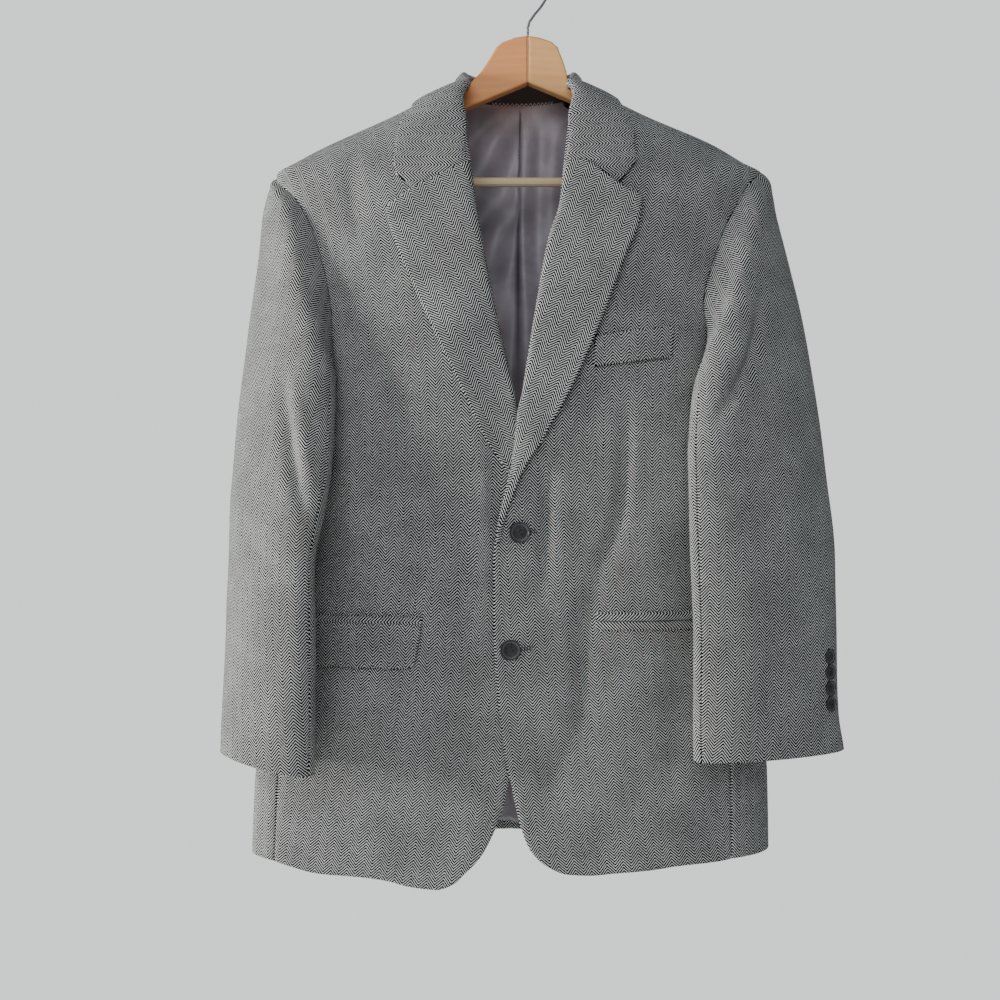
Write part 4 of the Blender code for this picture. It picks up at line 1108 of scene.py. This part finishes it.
def sleeve(side):
    """Grid of a sleeve's middle points and outward normals; columns run round from the front seam."""
    fore, under, aft = armhole(side)
    loop = np.concatenate([fore[::-1], aft[::-1][1:], under[::-1][1:-1]])
    outward = body_normal(loop[:, 0], loop[:, 1])
    places = body_base(loop[:, 0], loop[:, 1]) - outward * CLOTH / 2
    count = len(loop)
    away = unit(np.cross(np.roll(places, -2, axis=0) - np.roll(places, 2, axis=0), outward))
    away = away * np.sign(np.sum(away * (places.mean(axis=0) - places)))
    around = np.interp(np.arange(count), (0, ARMHOLE_CELLS, count), (0, 180, 360))
    fold_back = np.radians(20 + 130 * np.cos(np.radians(around / 2)) ** 2)
    lift = 0.28 * CLOTH * (1 - np.cos(fold_back))
    gap = 0.75 + 0.1 * np.sin(fold_back)
    start = places + away * gap[:, None] + outward * lift[:, None]

    table = SLEEVES[side]
    share = np.linspace(0, 1, SLEEVE_ROWS + 1)
    steps = np.linspace(0, 1, len(table))
    value = {name: smooth_steps(share, steps, column(table, SLEEVE_COLUMNS, name))[:, None]
             for name in SLEEVE_COLUMNS}
    angle = np.radians(around)[None]
    x, z = (
        (value[outer] + value[inner]) / 2 + (value[inner] - value[outer]) / 2 * np.cos(angle)
        for outer, inner in (("xo", "xi"), ("zo", "zi")))
    y = value["y"] - value["depth"] * np.sin(angle + np.radians(value["twist"]))
    grid = np.stack([x, y, z], -1)
    fade = np.clip(1 - share / 0.3, 0, 1) ** 2
    grid = grid + (start - grid[0])[None] * fade[:, None, None]
    roped = 2.6 * np.sin(np.pi * np.clip(share / 0.11, 0, 1))[:, None] * (1 - np.cos(angle)) ** 2 / 4
    grid = grid + outward[None] * roped[..., None]
    clearance = (SLEEVE_CLEARANCE * np.clip(share / 0.05, 0, 1))[:, None]
    grid[1:] = clear_of_body(grid[1:], UNDERARM[side] + 14, clearance[1:])
    for _ in range(SLEEVE_SMOOTHINGS):
        inner = grid[1:-1]
        grid[1:-1] = inner * 0.5 + (np.roll(inner, 1, axis=1) + np.roll(inner, -1, axis=1)
                                    + grid[:-2] + grid[2:]) * 0.125
    outside = -1 if side == "left" else 1
    normal = outside * grid_normals(grid, wraps=True)
    facing = np.clip(-normal[..., 1] * 1.6, 0, 1)
    settled = np.clip(share / 0.08, 0, 1)[:, None] * np.clip((1 - share) / 0.03, 0, 1)[:, None]
    inward = facing * crease_depth(grid[..., 0], grid[..., 2], SLEEVE_CREASES[side])
    shift = 0.0 if side == "right" else 210.0
    inward = inward + ripple(grid[..., 0] + grid[..., 1] + shift, grid[..., 2] * 1.2, 0.9)
    grid = grid - normal * (inward * settled)[..., None]
    return grid, outside * grid_normals(grid, wraps=True)


def build_sleeves():
    for side in SIDE_TURN:
        grid, normal = sleeve(side)
        count = grid.shape[1]
        for part, first, last in (("_top_sleeve", FORE_SEAM, HIND_SEAM),
                                  ("_under_sleeve", HIND_SEAM, count + FORE_SEAM)):
            chosen = np.arange(first, last + 1)
            points, way = grid[:, chosen % count].copy(), normal[:, chosen % count]
            for edge, near in ((0, 1), (-1, -2)):
                points[:, edge] += unit(points[:, near] - points[:, edge]) * SLEEVE_IN
            grain = len(chosen) // 6
            cut = laid_flat(points, (SLEEVE_ROWS, grain), (SLEEVE_ROWS // 4, grain))
            cloth_piece(side + part + "_cloth", points, way, cut, swell=0.6,
                        node=side + part)


# ---------------------------------------------------------------- pockets

def build_pockets():
    cells = 64
    for name, (corners, lie, rows) in POCKETS.items():
        side = "right" if name.startswith("right") else "left"
        upper_in, upper_out, lower_out, lower_in = np.array(corners, float)
        top = along([upper_in, upper_out], cells)
        bottom = along([lower_in, lower_out], cells)
        if name == "right_pocket_flap":
            rounded = np.clip(1 - np.linspace(0, 1, cells + 1) / 0.09, 0, 1)
            bottom[:, 1] += FLAP_CORNER * (1 - np.sqrt(1 - rounded**2))
        start, end = along([bottom[0], upper_in], rows), along([bottom[-1], upper_out], rows)
        grid = between(bottom, top, start, end, low=1, high=1)
        v = np.linspace(0, 1, rows + 1)[:, None]
        crown, cut = 0.9 * np.sin(np.pi * v), grid[..., ::-1]
        if rows == WIDE_POCKET:
            crown, cut = 0.7 * np.sin(np.pi * v) ** 0.5 + 1.5 * (1 - v) ** 2, grid
        height = lie + CLOTH / 2 + crown + np.zeros(grid.shape[:2])
        points = body(turn_of(grid[..., 0], grid[..., 1], side), grid[..., 1], height)
        if side == "right":
            points, cut = points[:, ::-1], cut[:, ::-1]
        cloth_piece(name + "_cloth", points, grid_normals(points), cut,
                    thickness=CLOTH * 0.9, node=name)

    places, heights = np.meshgrid(np.linspace(68, 195, 50), np.linspace(-678.5, -665.5, 8))
    points = body(turn_of(places, heights, "left"), heights, np.full(places.shape, 0.9))
    cloth_piece("left_pocket_slit_lining", points, grid_normals(points), np.stack([places, heights], -1),
                "navy", 0.8, swell=0.5)


# ---------------------------------------------------------------- buttons and buttonholes

def select_faces(made, chosen):
    """Leaves only the faces for which chosen(face) holds selected, in edit mode."""
    bpy.ops.mesh.select_mode(type="FACE")
    bpy.ops.mesh.select_all(action="DESELECT")
    shape = bmesh.from_edit_mesh(made.data)
    for face in shape.faces:
        face.select = chosen(face)
    shape.select_flush_mode()
    bmesh.update_edit_mesh(made.data)


def new_cylinder(sides, radius, depth, place, rotation=(0, 0, 0)):
    select_only()
    bpy.ops.mesh.primitive_cylinder_add(vertices=sides, radius=radius, depth=depth, location=place,
                                        rotation=rotation)
    return bpy.context.active_object


def apply_modifier(made, name, kind, **settings):
    modifier = made.modifiers.new(name, kind)
    for setting, value in settings.items():
        setattr(modifier, setting, value)
    bpy.context.view_layer.objects.active = made
    bpy.ops.object.modifier_apply(modifier=name)


def turned_button(name, diameter):
    """A four-hole button at the origin: raised rim, dished middle and holes."""
    thick = diameter * BUTTON_THICKNESS
    made = new_cylinder(48, diameter / 2, thick, (0, 0, thick / 2))
    made.name = name
    bpy.ops.object.mode_set(mode="EDIT")
    select_faces(made, lambda face: face.normal.z > 0.9)
    for inset, rise in ((0.055, 0), (0.045, -0.060), (0.07, 0), (0.15, 0.014)):
        bpy.ops.mesh.inset(thickness=diameter * inset)
        bpy.ops.transform.translate(value=(0, 0, diameter * rise))
    select_faces(made, lambda face: face.normal.z < -0.9)
    bpy.ops.mesh.inset(thickness=diameter * 0.12)
    bpy.ops.transform.resize(value=(0.96, 0.96, 1))
    bpy.ops.object.mode_set(mode="OBJECT")
    apply_modifier(made, "softened", "BEVEL", width=diameter * 0.022, segments=3, limit_method="ANGLE",
                   angle_limit=math.radians(25))
    step = diameter * HOLE_STEP
    for x in (-step, step):
        for y in (-step, step):
            drill = new_cylinder(14, diameter * 0.045, thick * 3, (x, y, thick / 2))
            apply_modifier(made, "hole", "BOOLEAN", operation="DIFFERENCE", solver="EXACT", object=drill)
            bpy.data.objects.remove(drill, do_unlink=True)
    select_only(made)
    bpy.ops.object.shade_smooth_by_angle(angle=math.radians(35))
    # distance from the centre as a share of the radius, read by the horn's painted highlight ring
    reach = made.data.attributes.new("from_centre", "FLOAT", "POINT")
    for vertex, spot in zip(made.data.vertices, reach.data):
        spot.value = 2 * vertex.co.xy.length / diameter
    return made


def button_thread(name, diameter):
    """Two bars of thread between the holes."""
    step = diameter * HOLE_STEP
    bars = []
    for x in (-step, step):
        bars.append(new_cylinder(10, diameter * 0.03, step * 2.6,
                                 (x, 0, diameter * BUTTON_THICKNESS * 0.66), (math.pi / 2, 0, 0)))
        bpy.ops.object.transform_apply(location=True, rotation=True, scale=True)
    select_only(*bars)
    bpy.ops.object.join()
    made = bpy.context.active_object
    made.name = name
    bpy.ops.object.shade_smooth()
    return made


def facing_matrix(place, normal, spin):
    """Turns +Z to a direction, with +Y kept upright, and moves to a place in millimetres."""
    way = Vector([float(value) for value in normal]).normalized()
    side = Vector((0, 0, 1)).cross(way).normalized()
    turn = Matrix((side, way.cross(side).normalized(), way)).transposed().to_4x4()
    turn = turn @ Matrix.Rotation(spin, 4, "Z")
    return Matrix.Translation([float(value) * MM for value in place]) @ turn


def copy_to(model, name, matrix, finish, node=None):
    made = link_object(name, model.data.copy())
    made.data.transform(matrix)
    made.data.materials.clear()
    made.data.materials.append(finish)
    declare(made, node)


def node_seat(node):
    """Middle of a CAD button and the way its face lies, from its own points."""
    points = np.array([vertex.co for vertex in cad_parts[node].data.vertices], float)
    centre = (points.min(axis=0) + points.max(axis=0)) / 2
    return centre / MM, np.linalg.svd(points - points.mean(axis=0))[2][2]


def build_buttons():
    trim = bpy.context.scene.jacket_trim
    stock = material("grey_horn", horn)
    sewing = material("dark_thread", thread, (0.05, 0.05, 0.05))
    models = {
        kind: (turned_button(kind + "_model", size), button_thread(kind + "_thread_model", size), size)
        for kind, size in (("front", trim.front_button), ("cuff", trim.cuff_button))}
    for node in sorted(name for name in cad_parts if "button" in name):
        front = node.startswith("front")
        button, bars, size = models["front" if front else "cuff"]
        centre, way = node_seat(node)
        outwards = -way[1] if front else way @ (centre * (1, 1, 0))
        way = way if outwards > 0 else -way
        seat = centre - way * size * BUTTON_THICKNESS / 2 / MM
        matrix = facing_matrix(seat, way, 0.35 + 0.5 * (len(node) % 3) + 0.4 * int(node[-1]))
        copy_to(button, node + "_turned", matrix, stock, node)
        copy_to(bars, node + "_thread", matrix, sewing)
    for button, bars, _ in models.values():
        bpy.data.objects.remove(button, do_unlink=True)
        bpy.data.objects.remove(bars, do_unlink=True)


def build_buttonholes():
    """Worked buttonholes: a raised ring of thread round a slit."""
    sewing = material("grey_thread", thread, (0.10, 0.10, 0.10))
    for name, ends, height in BUTTONHOLES:
        (x, z), run = np.mean(ends, axis=0), np.subtract(ends[1], ends[0])
        select_only()
        bpy.ops.mesh.primitive_torus_add(major_segments=40, minor_segments=8, major_radius=1.35 * MM,
                                         minor_radius=0.62 * MM)
        made = bpy.context.active_object
        made.name = name
        longer = (math.hypot(*run) / 2 - 1.3) * MM
        for vertex in made.data.vertices:
            vertex.co.x += math.copysign(longer, vertex.co.x)
            vertex.co.z *= 0.6
        bpy.ops.object.shade_smooth()
        turn = turn_of(x, z, "left")
        made.data.transform(facing_matrix(body(turn, z, height), body_normal(turn, z),
                                          math.atan2(run[1], run[0])))
        made.data.materials.append(sewing)
        declare(made)


# ---------------------------------------------------------------- hanger, stage

def finish_hanger():
    """Wood and wire for the hanger's own nodes."""
    trim = bpy.context.scene.jacket_trim
    finishes = {
        "right_hanger_arm": ("lacquered_wood_dark", wood, tuple(trim.dark_wood), math.radians(32)),
        "left_hanger_arm": ("lacquered_wood_light", wood, tuple(trim.light_wood), math.radians(-32)),
        "trouser_bar": ("lacquered_wood_bar", wood, (1.0, 0.80, 0.52), 0.0),
        "hook": ("drawn_wire", wire),
    }
    for node, chosen in finishes.items():
        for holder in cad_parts[node].material_slots:
            holder.material = material(*chosen)


def build_stage():
    stage = bpy.context.scene.jacket_stage
    select_only()
    bpy.ops.mesh.primitive_plane_add(size=4.0, location=(0, 0, -stage.floor_drop))
    floor = bpy.context.active_object
    floor.name = "studio_floor"
    pale = Finish("pale_floor")
    pale.surface(base_color=(0.80, 0.81, 0.80, 1), roughness=0.9)
    floor.data.materials.append(pale.made)

    world = bpy.data.worlds.new("studio")
    world.use_nodes = True
    nodes, links = world.node_tree.nodes, world.node_tree.links
    room, wall = nodes["Background"], nodes.new("ShaderNodeBackground")
    for ground, colour, strength in ((room, (0.80, 0.86, 0.90, 1), stage.room_light),
                                     (wall, (0.76, 0.80, 0.79, 1), WALL_LIGHT)):
        ground.inputs["Color"].default_value = colour
        ground.inputs["Strength"].default_value = strength
    mixed = nodes.new("ShaderNodeMixShader")
    seen = nodes.new("ShaderNodeLightPath").outputs["Is Camera Ray"]
    for socket, output in enumerate((seen, room.outputs[0], wall.outputs[0])):
        links.new(output, mixed.inputs[socket])
    links.new(mixed.outputs[0], nodes["World Output"].inputs["Surface"])
    bpy.context.scene.world = world

    for name, place, size, share, colour in LIGHTS:
        lamp = bpy.data.lights.new(name, "AREA")
        lamp.size, lamp.energy, lamp.color = size, stage.key_power * share, colour
        holder = link_object(name, lamp)
        holder.location = place
        aim = Vector(LIGHT_AIM) - Vector(place)
        holder.rotation_euler = aim.to_track_quat("-Z", "Y").to_euler()

    lens = bpy.data.cameras.new("view")
    lens.lens, lens.sensor_width = LENS, SENSOR
    camera = link_object("view", lens)
    camera.location = (CAMERA_X, -stage.camera_distance, CAMERA_Z)
    camera.rotation_euler = (math.pi / 2, 0, 0)
    bpy.context.scene.camera = camera


# ---------------------------------------------------------------- operators

class JACKET_OT_panels(bpy.types.Operator):
    """Lay the fronts, side panels and backs on the body's form"""

    bl_idname = "jacket.panels"
    bl_label = "Body Panels"

    def execute(self, context):
        build_fronts_and_backs()
        return {"FINISHED"}


class JACKET_OT_lining(bpy.types.Operator):
    """Hang the pleated back lining"""

    bl_idname = "jacket.lining"
    bl_label = "Back Lining"

    def execute(self, context):
        build_lining()
        return {"FINISHED"}


class JACKET_OT_lapels(bpy.types.Operator):
    """Roll the two lapels over the fronts"""

    bl_idname = "jacket.lapels"
    bl_label = "Lapels"

    def execute(self, context):
        build_lapels()
        return {"FINISHED"}


class JACKET_OT_collar(bpy.types.Operator):
    """Turn the collar over its felt band"""

    bl_idname = "jacket.collar"
    bl_label = "Collar"

    def execute(self, context):
        build_collar()
        build_neck_band()
        return {"FINISHED"}


class JACKET_OT_sleeves(bpy.types.Operator):
    """Set both sleeves in their armholes"""

    bl_idname = "jacket.sleeves"
    bl_label = "Sleeves"

    def execute(self, context):
        build_sleeves()
        return {"FINISHED"}


class JACKET_OT_pockets(bpy.types.Operator):
    """Add the breast welt, the jets and the flap"""

    bl_idname = "jacket.pockets"
    bl_label = "Pockets"

    def execute(self, context):
        build_pockets()
        return {"FINISHED"}


class JACKET_OT_buttons(bpy.types.Operator):
    """Turn the buttons and work the buttonholes"""

    bl_idname = "jacket.buttons"
    bl_label = "Buttons"

    def execute(self, context):
        build_buttons()
        build_buttonholes()
        return {"FINISHED"}


class JACKET_OT_hanger(bpy.types.Operator):
    """Finish the hanger's wood and wire"""

    bl_idname = "jacket.hanger"
    bl_label = "Hanger Finish"

    def execute(self, context):
        finish_hanger()
        return {"FINISHED"}


class JACKET_OT_stage(bpy.types.Operator):
    """Set the floor, the lights and the camera"""

    bl_idname = "jacket.stage"
    bl_label = "Stage"

    def execute(self, context):
        build_stage()
        return {"FINISHED"}


STEPS = (JACKET_OT_panels, JACKET_OT_lining, JACKET_OT_lapels, JACKET_OT_collar, JACKET_OT_sleeves,
         JACKET_OT_pockets, JACKET_OT_buttons, JACKET_OT_hanger, JACKET_OT_stage)


class JACKET_PT_builder(bpy.types.Panel):
    """Lists the steps and the sizes"""

    bl_label = "Jacket"
    bl_idname = "JACKET_PT_builder"
    bl_space_type = "VIEW_3D"
    bl_region_type = "UI"
    bl_category = "Jacket"

    def draw(self, context):
        layout = self.layout
        for group in (context.scene.jacket_cloth, context.scene.jacket_trim, context.scene.jacket_stage):
            box = layout.box()
            for name in group.__annotations__:
                box.prop(group, name)
        for step in STEPS:
            layout.operator(step.bl_idname)


GROUPS = {"jacket_cloth": JacketClothSettings, "jacket_trim": JacketTrimSettings,
          "jacket_stage": JacketStageSettings}
CLASSES = (*GROUPS.values(), *STEPS, JACKET_PT_builder)


def register():
    for item in CLASSES:
        bpy.utils.register_class(item)
    for name, group in GROUPS.items():
        setattr(bpy.types.Scene, name, bpy.props.PointerProperty(type=group))


def unregister():
    for name in GROUPS:
        delattr(bpy.types.Scene, name)
    for item in reversed(CLASSES):
        bpy.utils.unregister_class(item)


def main():
    register()
    bpy.ops.jacket.stage()
    bpy.ops.jacket.panels()
    bpy.ops.jacket.lining()
    bpy.ops.jacket.lapels()
    bpy.ops.jacket.collar()
    bpy.ops.jacket.sleeves()
    bpy.ops.jacket.pockets()
    bpy.ops.jacket.buttons()
    bpy.ops.jacket.hanger()


if __name__ == "__main__":
    main()
